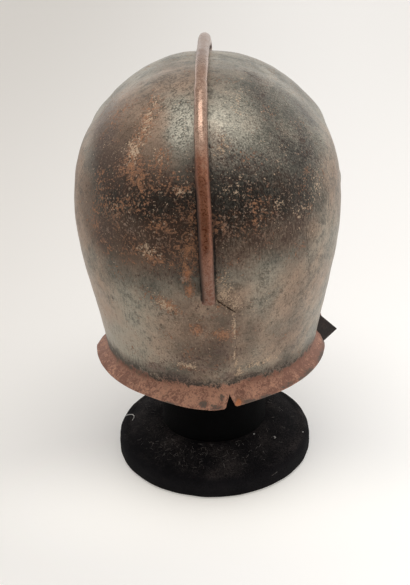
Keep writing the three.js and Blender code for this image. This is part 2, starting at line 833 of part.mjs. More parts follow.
place("skull_left", geometryOf(skullLeft()), 0x6b5c50, 0.45, 0.9);
place("skull_right", geometryOf(skullRight()), 0x67594e, 0.45, 0.9);
place("visor", geometryOf(visorSolid()), 0x65574c, 0.45, 0.9);
place("bevor", geometryOf(bevorSolid()), 0x695a4f, 0.45, 0.9);
place("pivot_left", boltGeometry(-1), 0x4f4540, 0.5, 0.9);
place("pivot_right", boltGeometry(1), 0x4f4540, 0.5, 0.9);
place("closing_strap", geometryOf(strapSolid()), 0x2c2522, 0.6, 0);
place("strap_rivet", rivetGeometry(), 0x55483f, 0.5, 0.9);
place("stand_base", baseGeometry(), 0x191719, 0.95, 0);
place("stand_neck", neckGeometry(), 0x191719, 0.95, 0);
place("stand_post", postGeometry(), 0x191719, 0.95, 0);

export default armet;
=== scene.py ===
import math

import bmesh
import bpy
import numpy as np
from mathutils import Matrix, Vector


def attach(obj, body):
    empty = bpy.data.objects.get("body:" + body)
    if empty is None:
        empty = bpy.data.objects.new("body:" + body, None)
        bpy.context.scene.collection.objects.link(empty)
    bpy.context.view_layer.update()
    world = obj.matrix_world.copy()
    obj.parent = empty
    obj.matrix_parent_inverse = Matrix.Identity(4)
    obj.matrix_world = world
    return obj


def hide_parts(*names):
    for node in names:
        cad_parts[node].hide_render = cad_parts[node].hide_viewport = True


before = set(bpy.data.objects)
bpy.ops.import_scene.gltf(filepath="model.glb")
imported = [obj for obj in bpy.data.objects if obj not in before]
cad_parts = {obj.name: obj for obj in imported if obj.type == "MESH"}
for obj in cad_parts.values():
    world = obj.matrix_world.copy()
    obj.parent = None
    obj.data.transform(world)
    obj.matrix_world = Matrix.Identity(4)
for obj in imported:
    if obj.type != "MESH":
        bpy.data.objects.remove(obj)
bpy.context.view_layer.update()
quarter = math.pi / 2

# Shapes are worked out in millimetres and turned into metres when a mesh is made.


def lerp(a, b, t):
    return a + (b - a) * t


def smooth(t):
    t = np.clip(t, 0, 1)
    return t * t * (3 - 2 * t)


def follow(table, at, column, key="z"):  # smooth curve through a table's rows, without overshoot
    keys = np.array(table[key], float)
    values = np.array(table[column], float)
    at = np.clip(at, keys[0], keys[-1])
    i = np.clip(np.searchsorted(keys, at) - 1, 0, len(keys) - 2)
    secants = np.diff(values) / np.diff(keys)
    product = secants[:-1] * secants[1:]
    between = 2 * product / np.where(product > 0, secants[:-1] + secants[1:], 1)
    slopes = np.concatenate([secants[:1], np.where(product > 0, between, 0), secants[-1:]])
    span = keys[i + 1] - keys[i]
    t = (at - keys[i]) / span
    ends = lerp(values[i], values[i + 1], t * t * (3 - 2 * t))
    return ends + span * t * (1 - t) * (slopes[i] * (1 - t) - slopes[i + 1] * t)


def ripple(points, size, seed, count=18):  # uneven swell over a surface, about -2 to 2
    dice = np.random.default_rng(seed)
    ways = dice.normal(size=(count, 3))
    ways /= np.linalg.norm(ways, axis=1)[:, None]
    ways *= (2 * math.pi / size * dice.uniform(0.6, 1.5, count))[:, None]
    return np.cos(points @ ways.T + dice.uniform(0, 2 * math.pi, count)).sum(-1) / math.sqrt(count / 2)


def spread(*stops):  # stops are place, count of steps, place, ...
    line = [np.array([stops[0]], float)]
    for i in range(1, len(stops), 2):
        line.append(np.linspace(stops[i - 1], stops[i + 1], int(stops[i]) + 1)[1:])
    return np.concatenate(line)


def makePiece(name, points, faces, angle=38):
    mesh = bpy.data.meshes.new(name)
    mesh.from_pydata((np.asarray(points, float) * 0.001).tolist(), [], [list(f) for f in faces])
    mesh.update()
    piece = bpy.data.objects.new(name, mesh)
    bpy.context.scene.collection.objects.link(piece)
    settle(piece, angle)
    return piece


def settle(piece, angle=38):
    mesh = piece.data
    mesh.validate()
    mesh.shade_smooth()
    mesh.set_sharp_from_angle(angle=math.radians(angle))


def weld(piece, reach=2e-6):
    shape = bmesh.new()
    shape.from_mesh(piece.data)
    bmesh.ops.remove_doubles(shape, verts=shape.verts, dist=reach)
    bmesh.ops.dissolve_degenerate(shape, edges=shape.edges, dist=1e-7)
    bmesh.ops.recalc_face_normals(shape, faces=shape.faces)
    shape.to_mesh(piece.data)
    shape.free()


def cutAway(piece, cutter):
    cut = piece.modifiers.new("cut", "BOOLEAN")
    cut.object = cutter
    cut.operation = "DIFFERENCE"
    cut.solver = "EXACT"
    whole = piece.evaluated_get(bpy.context.evaluated_depsgraph_get())
    piece.data = bpy.data.meshes.new_from_object(whole)
    piece.modifiers.clear()
    bpy.data.objects.remove(cutter)


def joinInto(piece, *others):
    chosen = [piece, *others]
    with bpy.context.temp_override(active_object=piece, object=piece, selected_editable_objects=chosen):
        bpy.ops.object.join()
    return piece


def shellParts(outer, inner, cells):  # two layers of a grid and the rim that joins them
    rows, columns = outer.shape[:2]
    points = np.concatenate([outer.reshape(-1, 3), inner.reshape(-1, 3)])
    size = rows * columns
    index = np.arange(size).reshape(rows, columns)
    a, b, c, d = index[:-1, :-1], index[:-1, 1:], index[1:, 1:], index[1:, :-1]
    has = np.pad(cells, 1)
    mid = has[1:-1, 1:-1]
    faces = []

    def quads(where, *corners):
        faces.extend(np.stack([corner[where] for corner in corners], -1).tolist())

    quads(mid, a, b, c, d)
    quads(mid, d + size, c + size, b + size, a + size)
    quads(mid & ~has[:-2, 1:-1], a + size, b + size, b, a)
    quads(mid & ~has[2:, 1:-1], d, c, c + size, d + size)
    quads(mid & ~has[1:-1, :-2], d + size, a + size, a, d)
    quads(mid & ~has[1:-1, 2:], b + size, c + size, c, b)
    return points, faces


def rimShare(cells):  # 1 on the grid points along a free edge
    padded = np.pad(cells, 1).astype(int)
    around = padded[:-1, :-1] + padded[:-1, 1:] + padded[1:, :-1] + padded[1:, 1:]
    return ((around > 0) & (around < 4)).astype(float)


def outwardOf(surface, u, v, uEnds, vEnds):
    step = 0.002
    along = surface(np.minimum(u + step, uEnds[1]), v) - surface(np.maximum(u - step, uEnds[0]), v)
    up = surface(u, np.minimum(v + step, vEnds[1])) - surface(u, np.maximum(v - step, vEnds[0]))
    out = np.cross(along, up)
    return out / np.maximum(np.linalg.norm(out, axis=-1, keepdims=True), 1e-9)


def turned(profile, sides, wobble=0.0, seed=1):  # profile of radius and height, with its ends on the axis
    profile = np.array(profile, float)
    angle = np.arange(sides) * 2 * math.pi / sides
    points = [[0, 0, profile[0, 1]]]
    for radius, height in profile[1:-1]:
        level = np.full(sides, height)
        points.extend(np.stack([radius * np.cos(angle), radius * np.sin(angle), level], -1).tolist())
    points.append([0, 0, profile[-1, 1]])
    faces = []
    rings = len(profile) - 2
    for i in range(sides):
        j = (i + 1) % sides
        faces.append([0, 1 + j, 1 + i])
        for k in range(rings - 1):
            low, high = 1 + k * sides, 1 + (k + 1) * sides
            faces.append([low + i, low + j, high + j, high + i])
        last = 1 + (rings - 1) * sides
        faces.append([last + i, last + j, len(points) - 1])
    points = np.array(points)
    if wobble:
        away = points * [1, 1, 0.6]
        away /= np.maximum(np.linalg.norm(away, axis=1, keepdims=True), 1)
        push = wobble * ripple(points, 26, seed) + 0.5 * wobble * ripple(points, 9, seed + 1)
        points = points + away * push[:, None]
    return points, faces


def ringFaces(rings, sides):  # walls between rings of points, and both ends
    faces = []
    for k in range(rings - 1):
        for i in range(sides):
            a, b = k * sides + i, k * sides + (i + 1) % sides
            faces.append([a, b, b + sides, a + sides])
    last = (rings - 1) * sides
    return faces + [list(range(sides))[::-1], [last + i for i in range(sides)]]


def tube(path, radius, sides=6):
    path = np.array(path, float)
    ahead = np.gradient(path, axis=0)
    ahead /= np.linalg.norm(ahead, axis=1, keepdims=True)
    side = np.cross(ahead, [0.31, 0.2, 0.93])
    side /= np.linalg.norm(side, axis=1, keepdims=True)
    top = np.cross(ahead, side)
    angle = np.arange(sides) * 2 * math.pi / sides
    around = side[:, None] * np.cos(angle)[:, None] + top[:, None] * np.sin(angle)[:, None]
    points = path[:, None] + radius * around
    return points.reshape(-1, 3), ringFaces(len(path), sides)


# Materials


class Wire:  # a socket that can be used in sums
    def __init__(self, tree, socket=None):
        self.tree = tree
        self.socket = socket

    def node(self, kind, settings=None, sockets=None, out=0):
        made = self.tree.nodes.new("ShaderNode" + kind)
        for name, value in (settings or {}).items():
            setattr(made, name, value)
        for key, value in (sockets or {}).items():
            if isinstance(value, Wire):
                self.tree.links.new(value.socket, made.inputs[key])
            else:
                made.inputs[key].default_value = value
        return Wire(self.tree, made.outputs[out] if made.outputs else None)

    def sum(self, operation, first, second=0.0):
        return self.node("Math", {"operation": operation}, {0: first, 1: second})

    def __add__(self, other):
        return self.sum("ADD", self, other)

    def __radd__(self, other):
        return self.sum("ADD", other, self)

    def __sub__(self, other):
        return self.sum("SUBTRACT", self, other)

    def __rsub__(self, other):
        return self.sum("SUBTRACT", other, self)

    def __mul__(self, other):
        return self.sum("MULTIPLY", self, other)

    def __rmul__(self, other):
        return self.sum("MULTIPLY", other, self)

    def __abs__(self):
        return self.sum("ABSOLUTE", self)

    def most(self, other):
        return self.sum("MAXIMUM", self, other)

    def step(self, low, high):  # 0 below low, 1 above high
        ends = {"Value": self, "From Min": low, "From Max": high}
        return self.node("MapRange", {"interpolation_type": "SMOOTHSTEP"}, ends)

    def mix(self, first, second):  # this wire is the share of the second colour
        pair = {0: self, 6: first, 7: second}
        for key in (6, 7):
            if not isinstance(pair[key], Wire):
                pair[key] = (*pair[key], 1)
        return self.node("Mix", {"data_type": "RGBA"}, pair, 2)


def startMaterial(name):
    material = bpy.data.materials.new(name)
    material.use_nodes = True
    tree = material.node_tree
    tree.nodes.clear()
    return material, Wire(tree)


def finishMaterial(material, wire, sockets, height=None, bump=(0.3, 0.001)):
    if height is not None:
        strength, distance = bump
        raised = wire.node("Bump", {}, {"Strength": strength, "Distance": distance, "Height": height})
        sockets = {**sockets, "Normal": raised}
    shader = wire.node("BsdfPrincipled", {}, sockets)
    wire.node("OutputMaterial", {}, {"Surface": shader})
    return material


def placeOf(wire):
    return wire.node("TexCoord", {}, {}, 3)


def axesOf(wire, vector):
    return [wire.node("SeparateXYZ", {}, {0: vector}, i) for i in range(3)]


def speckle(wire, place, size, detail=3.0, rough=0.55, twist=0.0, stretch=None):  # size in millimetres
    if stretch:
        place = wire.node("Mapping", {}, {"Vector": place, "Scale": stretch})
    return wire.node("TexNoise", {}, {"Vector": place, "Scale": 1000 / size, "Detail": detail,
                                      "Roughness": rough, "Distortion": twist})


skullFinish = {
    "greenDark": (0.088, 0.083, 0.068), "brownDark": (0.098, 0.067, 0.047),
    "greenPale": (0.378, 0.350, 0.284), "brownPale": (0.392, 0.283, 0.207),
    "black": (0.016, 0.011, 0.008), "umber": (0.072, 0.040, 0.026),
    "rust": (0.430, 0.205, 0.100), "darkRust": (0.165, 0.082, 0.050),
    "ember": (0.760, 0.250, 0.085), "ash": (0.340, 0.250, 0.190),
    # The near-black at the end of the next line is painted shade for the creases and gaps.
    "tan": (0.580, 0.415, 0.280), "shadeBlack": (0.010, 0.008, 0.006),
    "flange": (0.265, 0.120, 0.080), "paleFlange": (0.610, 0.318, 0.206),
    "crust": (0.200, 0.125, 0.098), "scale": (0.040, 0.031, 0.023),
    "chipAndRimShade": (0.105, 0.088, 0.072),
    "neckZ": 117.5,
}


def painted(wire, name):
    return wire.node("Attribute", {"attribute_name": name}, {}, 2)


def ironMaterial(name, look):
    material, wire = startMaterial(name)
    place = placeOf(wire)
    other = wire.node("Mapping", {}, {"Vector": place, "Location": (0.31, 0.17, 0.05)})
    third = wire.node("Mapping", {}, {"Vector": place, "Location": (0.12, 0.44, 0.27)})
    across, depth, up = axesOf(wire, place)
    height = up * 1000

    # Noise from broad to fine
    broad = speckle(wire, place, 60, 2) - 0.5
    cloud = speckle(wire, place, 18, 3) - 0.5
    mottle = speckle(wire, place, 5.5, 3, 0.6) - 0.5
    grain = speckle(wire, place, 1.8, 3, 0.6, 0.6, (1, 1, 0.6)) - 0.5
    tiny = speckle(wire, other, 1.2, 2, 0.6) - 0.5
    brushed = wire.node("Mapping", {}, {"Vector": place, "Rotation": (0, -0.7, 0), "Scale": (1, 0.2, 0.09)})
    scratch = speckle(wire, brushed, 1.1, 2, 0.5) - 0.5
    upright = wire.node("Mapping", {}, {"Vector": third, "Scale": (1, 1, 0.34)})
    streak = (speckle(wire, upright, 1.0, 3, 0.6) - 0.5) * painted(wire, "streak")
    rustCloud = speckle(wire, other, 14, 3) - 0.5
    rustFine = speckle(wire, other, 2.8, 4, 0.65, 0.5) - 0.5
    rustTiny = speckle(wire, third, 1.5, 3, 0.6) - 0.5
    tanFine = speckle(wire, third, 3.4, 4, 0.65, 0.4) - 0.5

    # Bare iron, green or brown, and the black skin over it. The bare share is partly painted reflection:
    # paler where the floor, the overhead lamp and the bright sides are reflected, darker in the middle band
    # where the dark camera side is reflected.
    bare, creaseShade = painted(wire, "bare"), painted(wire, "creaseShade")
    tint = (painted(wire, "warm") + cloud * 0.6 + broad * 0.5).step(0.2, 0.8)
    crackle = (grain * 1.9 + tiny * 1.8) * painted(wire, "crackle")
    pale = 0.42 + bare * 0.14 + crackle + mottle * 0.85 + cloud * 0.75
    # Scratches low on the left, with a constant lift there that is a painted sheen.
    pale = pale + painted(wire, "scratchesAndSheen") * (scratch * 0.9 + 0.21) + streak * 0.85
    darkMetal = tint.mix(look["greenDark"], look["brownDark"])
    paleMetal = tint.mix(look["greenPale"], look["brownPale"])
    metal = pale.step(0.1, 0.88).mix(darkMetal, paleMetal)
    # The black skin falls where the bare share is low: real black skin, and the painted dark reflection of
    # the middle band.
    skinAndDarkReflection = (1 - bare) * 0.75 + cloud * 0.3 + mottle * 0.8 + grain + tiny * 0.6 - streak * 0.8
    skinAndDarkReflection = skinAndDarkReflection.step(0.18, 0.85)
    skin = (tint * 0.6 + 0.3 + mottle).step(0.2, 0.9).mix(look["black"], look["umber"])
    colour = skinAndDarkReflection.mix(metal, skin)

    # Rust as a thin veil and as flecks, red on the left and ash on the right
    rustPatch, fleck = painted(wire, "rust"), painted(wire, "fleck")
    redTone = (0.42 + rustTiny * 2.0 + tanFine * 1.6 + tiny * 1.6).step(0.15, 0.8)
    redTone = redTone.mix(look["rust"], look["darkRust"])
    ashTone = (0.40 + tanFine * 2 + tiny * 2).step(0.1, 0.8).mix(look["ash"], look["umber"])
    veil = (rustPatch * 0.78 + rustFine * 2.0 + rustTiny * 2.0 + grain * 1.5).step(0.42, 0.82) * 0.85
    colour = veil.mix(colour, redTone)
    rusty = rustPatch * 0.2 + rustFine * 1.3 + rustTiny * 1.4 + rustCloud * 0.5 + fleck * 0.1 - bare * 0.25
    rusty = rusty.step(0.1, 0.3)
    colour = rusty.mix(colour, fleck.step(-0.6, 0.6).mix(ashTone, redTone))
    colour = (rustPatch.step(1.0, 2.0) * veil).mix(colour, look["ember"])

    # Crust above the flange, and tan spots
    crust = (painted(wire, "crust") * 0.8 + mottle * 0.9 + grain * 1.4 + tiny).step(0.22, 0.68)
    crustTone = (0.4 + grain * 2 + tiny * 2).step(0.1, 0.9).mix(look["crust"], look["umber"])
    colour = (crust * 0.8).mix(colour, crustTone)
    tanned = painted(wire, "tan") * 0.44 + tanFine * 1.2 + tiny * 1.2 + rustTiny * 0.8 - bare * 0.14
    tanned = tanned.step(0.22, 0.40)
    colour = (tanned * 0.92).mix(colour, look["tan"])

    # The flange begins at a ragged line with dark flakes along it
    line = height - look["neckZ"] + cloud * 12 + mottle * 13 + grain * 9 + tiny * 7
    flange = 1 - line.step(-2.4, 2.4)
    flaky = (painted(wire, "flake") + mottle * 2.2 + grain * 2.2 + tiny * 1.4).step(0.25, 0.65)
    flakes = (1 - abs(line - 3).step(1.0, 9.0)) * flaky
    outer = abs(across).step(0.015, 0.075)
    # Painted shade: the flange tone is darker on the front, to offset the stronger light there.
    ahead = depth.step(-0.02, 0.06)
    neckTone = 0.72 - outer * 0.48 - ahead * 0.22 + mottle * 1.5 + grain * 1.7 + tiny * 1.4 + cloud * 1.7
    neckTone = neckTone.step(0.1, 0.9).mix(look["flange"], look["paleFlange"])
    colour = (flange * (1 - rusty.most(veil) * 0.85)).mix(colour, neckTone)
    colour = (flakes * 0.8).mix(colour, look["scale"])
    # Dark chips on the flange, and a painted shade line along the right rim.
    chipAndRimShade = (painted(wire, "chipAndRimShade") + mottle * 1.3 + grain * 1.3 + tiny * 0.8).step(0.42, 0.62) * flange
    colour = (chipAndRimShade * 0.85).mix(colour, look["chipAndRimShade"])

    # Painted shade in the creases and gaps, which also dulls the iron, then shine and relief
    dark = (creaseShade + creaseShade * (mottle + grain) * 1.2).step(0.25, 0.75) * 0.93
    colour = dark.mix(colour, look["shadeBlack"])
    dull = rusty.most(tanned).most(dark).most(veil).most(crust).most(flakes)
    metalShare = 0.9 * (1 - skinAndDarkReflection * 0.5) * (1 - dull) * (1 - flange * 0.75)
    rough = 0.42 + grain * 0.25 + skinAndDarkReflection * 0.06 + dull * 0.3 + flange * 0.14
    relief = tiny * 0.2 + grain * 0.35 + mottle * 0.5 + dull * 0.4
    relief = relief - skinAndDarkReflection * 0.4 - flange * 0.5 - dark - flakes * 0.9
    sockets = {"Base Color": colour, "Metallic": metalShare, "Roughness": rough}
    return finishMaterial(material, wire, sockets, relief, (0.45, 0.0005))


combFinish = {
    "brown": (0.180, 0.056, 0.026), "copper": (0.335, 0.136, 0.072),
    "rose": (0.255, 0.155, 0.112), "paleRose": (0.430, 0.285, 0.212),
    "dark": (0.045, 0.023, 0.015), "grey": (0.300, 0.205, 0.155), "faded": (0.185, 0.145, 0.125),
    "lowZ": 232, "highZ": 303, "wornZ": (284, 302), "fadedZ": (342, 349),
}


def combMaterial(look):
    material, wire = startMaterial("combIron")
    place = placeOf(wire)
    height = axesOf(wire, place)[2] * 1000
    cloud = speckle(wire, place, 14, 3) - 0.5
    fine = speckle(wire, place, 2.6, 4, 0.6, 0.3) - 0.5
    tiny = speckle(wire, place, 1.1, 2) - 0.5
    low = 1 - (height + cloud * 40).step(look["lowZ"] - 18, look["lowZ"] + 18)
    high = (height + cloud * 30).step(look["highZ"] - 14, look["highZ"] + 14)
    share = (0.5 + fine * 1.6 + cloud * 0.9 + tiny * 1.2).step(0.2, 0.8)
    tone = high.mix(share.mix(look["brown"], look["copper"]), share.mix(look["rose"], look["paleRose"]))
    lowTone = (0.5 + fine * 1.4 + tiny).step(0.2, 0.8).mix(look["brown"], look["grey"])
    tone = (low * 0.75).mix(tone, lowTone)
    crown = height.step(*look["fadedZ"])
    tone = (crown * 0.5).mix(tone, look["faded"])
    spots = (fine * 1.1 + tiny * 0.9).step(0.10, 0.26)
    # Dark spots, and painted shade in the creases beside the comb and in the gap over the crown
    creaseShade = painted(wire, "creaseShade")
    colour = (spots * 0.6).most(creaseShade).mix(tone, look["dark"])
    worn = (height + cloud * 16).step(*look["wornZ"])
    rough = 0.30 - worn * 0.09 + fine * 0.4 + tiny * 0.3 + spots * 0.15
    rough = rough + low * 0.12 + creaseShade * 0.6 + crown * 0.15
    metalShare = (0.36 + worn * 0.44) * (1 - spots * 0.4) * (1 - creaseShade) * (1 - crown * 0.4)
    relief = fine * 0.6 + tiny * 0.4 + cloud * 0.3
    sockets = {"Base Color": colour, "Metallic": metalShare, "Roughness": rough}
    return finishMaterial(material, wire, sockets, relief, (0.35, 0.0004))


feltFinish = {
    "base": {
        "black": (0.0036, 0.0034, 0.0044), "grey": (0.0150, 0.0135, 0.0150), "dust": (0.060, 0.050, 0.047),
    },
    # The neck's felt is a darker copy of the base's felt: painted shade under the helmet.
    "neck": {
        "black": (0.0012, 0.0012, 0.0014), "grey": (0.0030, 0.0029, 0.0032), "dust": (0.004, 0.004, 0.004),
    },
}


def feltMaterial(name, look):
    material, wire = startMaterial(name)
    place = placeOf(wire)
    fibre = speckle(wire, place, 1.3, 4, 0.7, 1.6) - 0.5
    cloud = speckle(wire, place, 24, 3) - 0.5
    colour = (0.5 + fibre * 1.2 + cloud * 0.5).step(0.25, 0.85).mix(look["black"], look["grey"])
    upward = axesOf(wire, wire.node("NewGeometry", {}, {}, 1))[2]
    dusty = upward.step(0.55, 0.98) * (0.42 + cloud * 1.2 + fibre * 1.9).step(0.35, 0.95)
    colour = dusty.mix(colour, look["dust"])
    sockets = {"Base Color": colour, "Roughness": 0.95, "Specular IOR Level": 0.1}
    return finishMaterial(material, wire, sockets, fibre, (0.6, 0.0008))


leatherFinish = {"dark": (0.020, 0.012, 0.010), "worn": (0.068, 0.043, 0.034)}


def leatherMaterial(look):
    material, wire = startMaterial("strapLeather")
    place = placeOf(wire)
    pores = speckle(wire, place, 1.4, 4, 0.6)
    worn = speckle(wire, place, 9, 4, 0.6)
    colour = (worn * 0.7 + pores * 0.3).step(0.42, 0.72).mix(look["dark"], look["worn"])
    sockets = {"Base Color": colour, "Roughness": 0.6 + (worn - 0.5) * 0.3}
    return finishMaterial(material, wire, sockets, pores + worn, (0.4, 0.0005))


lintFinish = {
    "pale": ((0.70, 0.68, 0.65), (0.90, 0.88, 0.85)),
    "grey": ((0.07, 0.06, 0.054), (0.25, 0.225, 0.205)),
}


def lintMaterial(name, tones):
    material, wire = startMaterial(name)
    colour = speckle(wire, placeOf(wire), 9).step(0.4, 0.62).mix(*tones)
    return finishMaterial(material, wire, {"Base Color": colour, "Roughness": 0.9})


skullIron = ironMaterial("skullIron", skullFinish)
combIron = combMaterial(combFinish)
baseFelt = feltMaterial("baseFelt", feltFinish["base"])
# The neck and post get the darker felt, painted shade.
shadedNeckFelt = feltMaterial("shadedNeckFelt", feltFinish["neck"])
strapLeather = leatherMaterial(leatherFinish)
paleLint = lintMaterial("paleLint", lintFinish["pale"])
greyLint = lintMaterial("greyLint", lintFinish["grey"])
print("materials made")


# Stains: across and height on the back of the skull, half width, half height, lean, strength

stains = {
    "rust": [
        (-34, 322, 6, 5, 0, 0.75), (-37, 317, 7, 6, 0, 0.85), (-39.5, 312, 7, 7, 0, 1.1),
        (-42.5, 306, 7, 7, 0, 1.05), (-46, 301, 7, 7, 0, 1.0), (-49, 295, 6, 6, 0, 0.9),
        (-29, 296, 7, 7, 0, 0.8), (-60, 309, 14, 10, 0, 0.5), (-45, 281, 6, 7, 0, 0.8),
        (-15, 278, 7, 3, 0.5, 0.9), (-69, 262, 9, 9, 0, 0.7), (-78, 245, 6, 16, 0, 0.7),
        (-36, 228, 5, 5, 0, 0.6), (-11, 238, 4, 10, 0, 1.2), (-12, 220, 4, 9, 0.1, 1.5),
        (-10.5, 208, 3.5, 7, 0, 1.5), (-21, 229, 4, 4, 0, 0.7), (-6.5, 173, 6, 8, 0, 1.35),
        (12, 169, 13, 7, 0, 1.25), (-20, 185, 7, 5, 0, 0.5), (72, 279, 3, 4, 0, 0.9),
        (-60, 252, 34, 16, 0, 0.35), (36, 250, 36, 16, 0, 0.3), (20, 254, 16, 15, 0, 0.55),
        (-30, 246, 26, 14, 0, 0.35), (22, 104, 3.2, 2.6, 0, 2.6), (-16, 134, 9, 3, 0, 1.1),
        (-30, 190, 5, 4, 0, 0.6), (-7, 240, 3, 16, 0, 0.8), (-26.5, 193, 9, 9.5, -0.75, 1.2),
    ],
    "tan": [
        (-34, 321, 5, 5, 0, 0.75), (-38, 314, 6, 6, 0, 0.85), (-40, 309, 6, 6, 0, 0.8),
        (-44, 303, 6, 6, 0, 0.6), (-48, 297, 6, 6, 0, 0.9), (-29, 296, 7, 6, 0, 0.5),
        (-39, 236, 9, 6, 0, 0.7), (-27.5, 193.5, 8, 7.5, -0.75, 0.95), (13, 205, 7, 14, 0, 0.95),
        (20, 196, 6, 8, 0, 0.8), (24, 321, 8, 9, 0, 0.5), (13, 302, 6, 8, 0, 0.55),
        (52, 265, 6, 5, 0, 0.5), (79, 267, 5, 10, 0, 0.65), (68, 256, 11, 5, 0.3, 0.46),
        (34, 188, 2.5, 6, 0, 0.7), (-16, 137, 9, 3.5, 0, 1.0), (40, 133, 14, 4, 0.25, 1.0),
        (19.5, 148, 1.1, 7, 0, 1.2), (20.6, 138, 1.2, 5, 0.15, 1.5), (22.4, 129, 1.5, 5, 0.35, 1.4),
        (19, 276, 7, 8, 0, 0.36), (22, 126, 6, 5, 0, 1.0), (19.7, 174, 1.2, 13, 0, 1.4),
        (-15, 277, 5, 3, 0.5, 0.8), (-62, 262, 5, 5, 0, 0.5),
    ],
    "crust": [
        (-24, 121, 24, 9, 0, 0.9), (-52, 123, 16, 6, 0, 0.5), (6, 117, 16, 6, 0, 0.7),
        (30, 121, 12, 6, 0, 0.7), (52, 123, 16, 6, 0, 0.6), (10, 150, 22, 12, 0, 0.45),
        (-8, 138, 28, 13, 0, 0.6), (-40, 129, 14, 6, 0, 0.8), (17, 125, 10, 6, 0, 0.8),
        (-63, 126, 10, 5, 0, 0.4),
    ],
    # Dark chips on the flange, and along the right rim a painted shade line.
    "chipAndRimShade": [
        (-4, 104.8, 4.5, 2.6, 0, 0.9), (6, 102.4, 6, 2.4, 0, 0.8), (9.5, 108, 2.4, 3, 0, 0.7),
        (31, 103.8, 7, 2.2, 0, 0.9), (42, 104.4, 7, 2.2, 0, 0.8), (-30, 103.5, 9, 1.6, 0, 0.7),
        (60, 106.4, 9, 1.8, 0, 0.6), (76, 106.2, 9, 1.8, 0, 0.7), (89, 106.2, 6, 2.2, 0, 0.9),
        (-75, 104, 9, 1.6, 0, 0.5),
    ],
    "warm": [
        (-55, 305, 42, 30, 0, 0.9), (65, 190, 40, 45, 0, 0.55), (55, 150, 36, 30, 0, 0.5),
        (-45, 238, 60, 22, 0, 0.8), (40, 240, 60, 18, 0, 0.6), (-80, 180, 22, 40, 0, 0.5),
        (18, 195, 18, 20, 0, 0.8), (0, 165, 50, 45, 0, 0.75), (-95, 255, 18, 40, 0, 0.95),
        (95, 260, 14, 40, 0, 0.6), (-35, 338, 42, 14, 0, 0.9),
    ],
}


def stainField(points, spots):
    field = np.zeros(len(points))
    x, y, z = points.T
    back = smooth((34 - y) / 76)
    for across, high, wide, tall, lean, strength in spots:
        dx = x - across + lean * (high - z)
        near = (dx / wide) ** 2 + ((z - high) / tall) ** 2
        field = np.maximum(field, strength * np.exp(-near) * back)
    return field


def sheenField(points, rightShare=0.22):  # painted sheen: the two patches beside the comb where the overhead lamp's highlight falls
    x, y, z = points.T
    left = np.exp(-((x + 15) / 11) ** 2 - ((z - 311) / 15) ** 2)
    right = np.exp(-((x - 21) / 16) ** 2 - ((z - 315) / 13) ** 2)
    return np.maximum(left, rightShare * right) * smooth(-y / 20)


def bareField(points):  # where the iron is bare, with painted reflection: paler low down where the floor is reflected, on top under the overhead lamp and at the grazing sides, darker in the middle band where the dark camera side is reflected, and darker towards the front
    x, y, z = points.T
    behind = smooth((6 - y) / 40)
    front = smooth((y - 10) / 50)
    low = 1 - smooth((z - 195 - 0.12 * x) / 60)
    leftTop = 0.8 * smooth((z - 268) / 60)
    rightTop = 0.38 * smooth((z - 255) / 55)
    top = lerp(leftTop, rightTop, smooth((x - 20) / 24) * behind)
    side = lerp(0.9 * smooth((np.abs(x) - 70) / 28), 0.45 * smooth((np.abs(x) - 40) / 60), front)
    side = side * (1 - 0.1 * np.exp(-((z - 250) / 22) ** 2) * smooth(-x / 40) * behind)
    drift = 0.07 * ripple(points, 60, 5) + 0.05 * ripple(points, 25, 6)
    drift = drift - 0.16 * smooth((y - 20) / 50) * (1 + 0.5 * ripple(points, 40, 8))
    rightCrown = np.exp(-((x - 42) / 34) ** 2 - ((z - 336) / 14) ** 2)
    drift = drift - 0.3 * rightCrown * smooth((45 - y) / 60)
    nape = 0.6 * np.exp(-((x - 14) / 54) ** 2 - ((z - 168) / 50) ** 2)
    shaded = 0.3 * np.exp(-((x + 68) / 22) ** 2 - ((z - 294) / 15) ** 2)
    # Painted sheen: the bare share is raised under the lamp's highlight beside the comb; the nape and a
    # patch on the left are made darker.
    sheenAndDarkPatches = (0.2 * sheenField(points) - nape - shaded) * behind
    return np.clip(np.maximum(low, top) + side + drift + sheenAndDarkPatches, 0, 1)


lapCrack = {"x": 6.8, "z": 198.6, "way": (0.764, -0.645), "long": 15, "half": 0.7}  # along the lap's slant


def creaseShadeField(points):  # painted shade in the creases beside the comb, in the lap's crack and in a gap over the crown, and a dark dot under the comb's end
    x, y, z = points.T
    back = smooth((-60 - y) / 20)
    beside = x - follow(combStray, z, "x")
    low = 1 - smooth((z - 262) / 60)
    left = np.exp(-((beside + 4.6) / 1.5) ** 2) * lerp(0.08, 1, low)
    right = np.exp(-((beside - 5.2) / 1.2) ** 2) * lerp(0.45, 0.75, low)
    creases = np.maximum(left, right) * smooth((z - 198) / 4)
    dx, dz = x - lapCrack["x"], z - lapCrack["z"]
    wayX, wayZ = lapCrack["way"]
    along, across = dx * wayX + dz * wayZ, dz * wayX - dx * wayZ
    run = smooth((along + 2) / 2) * (1 - smooth((along - lapCrack["long"]) / 3))
    crack = 0.6 * np.exp(-((across + 0.3) / lapCrack["half"]) ** 2) * run
    darkDot = 0.9 * np.exp(-((x - 2) / 1.3) ** 2 - ((z - 193.5) / 1.3) ** 2)
    paintedShade = np.maximum.reduce([creases, crack, darkDot]) * np.where(y > -60, 0, np.maximum(back, 0.3))
    gap = np.exp(-((x - 3.4) / 3.4) ** 2 - ((y - 82) / 9) ** 2 - ((z - 328) / 4) ** 2)
    return np.clip(np.maximum(paintedShade, gap), 0, 1)


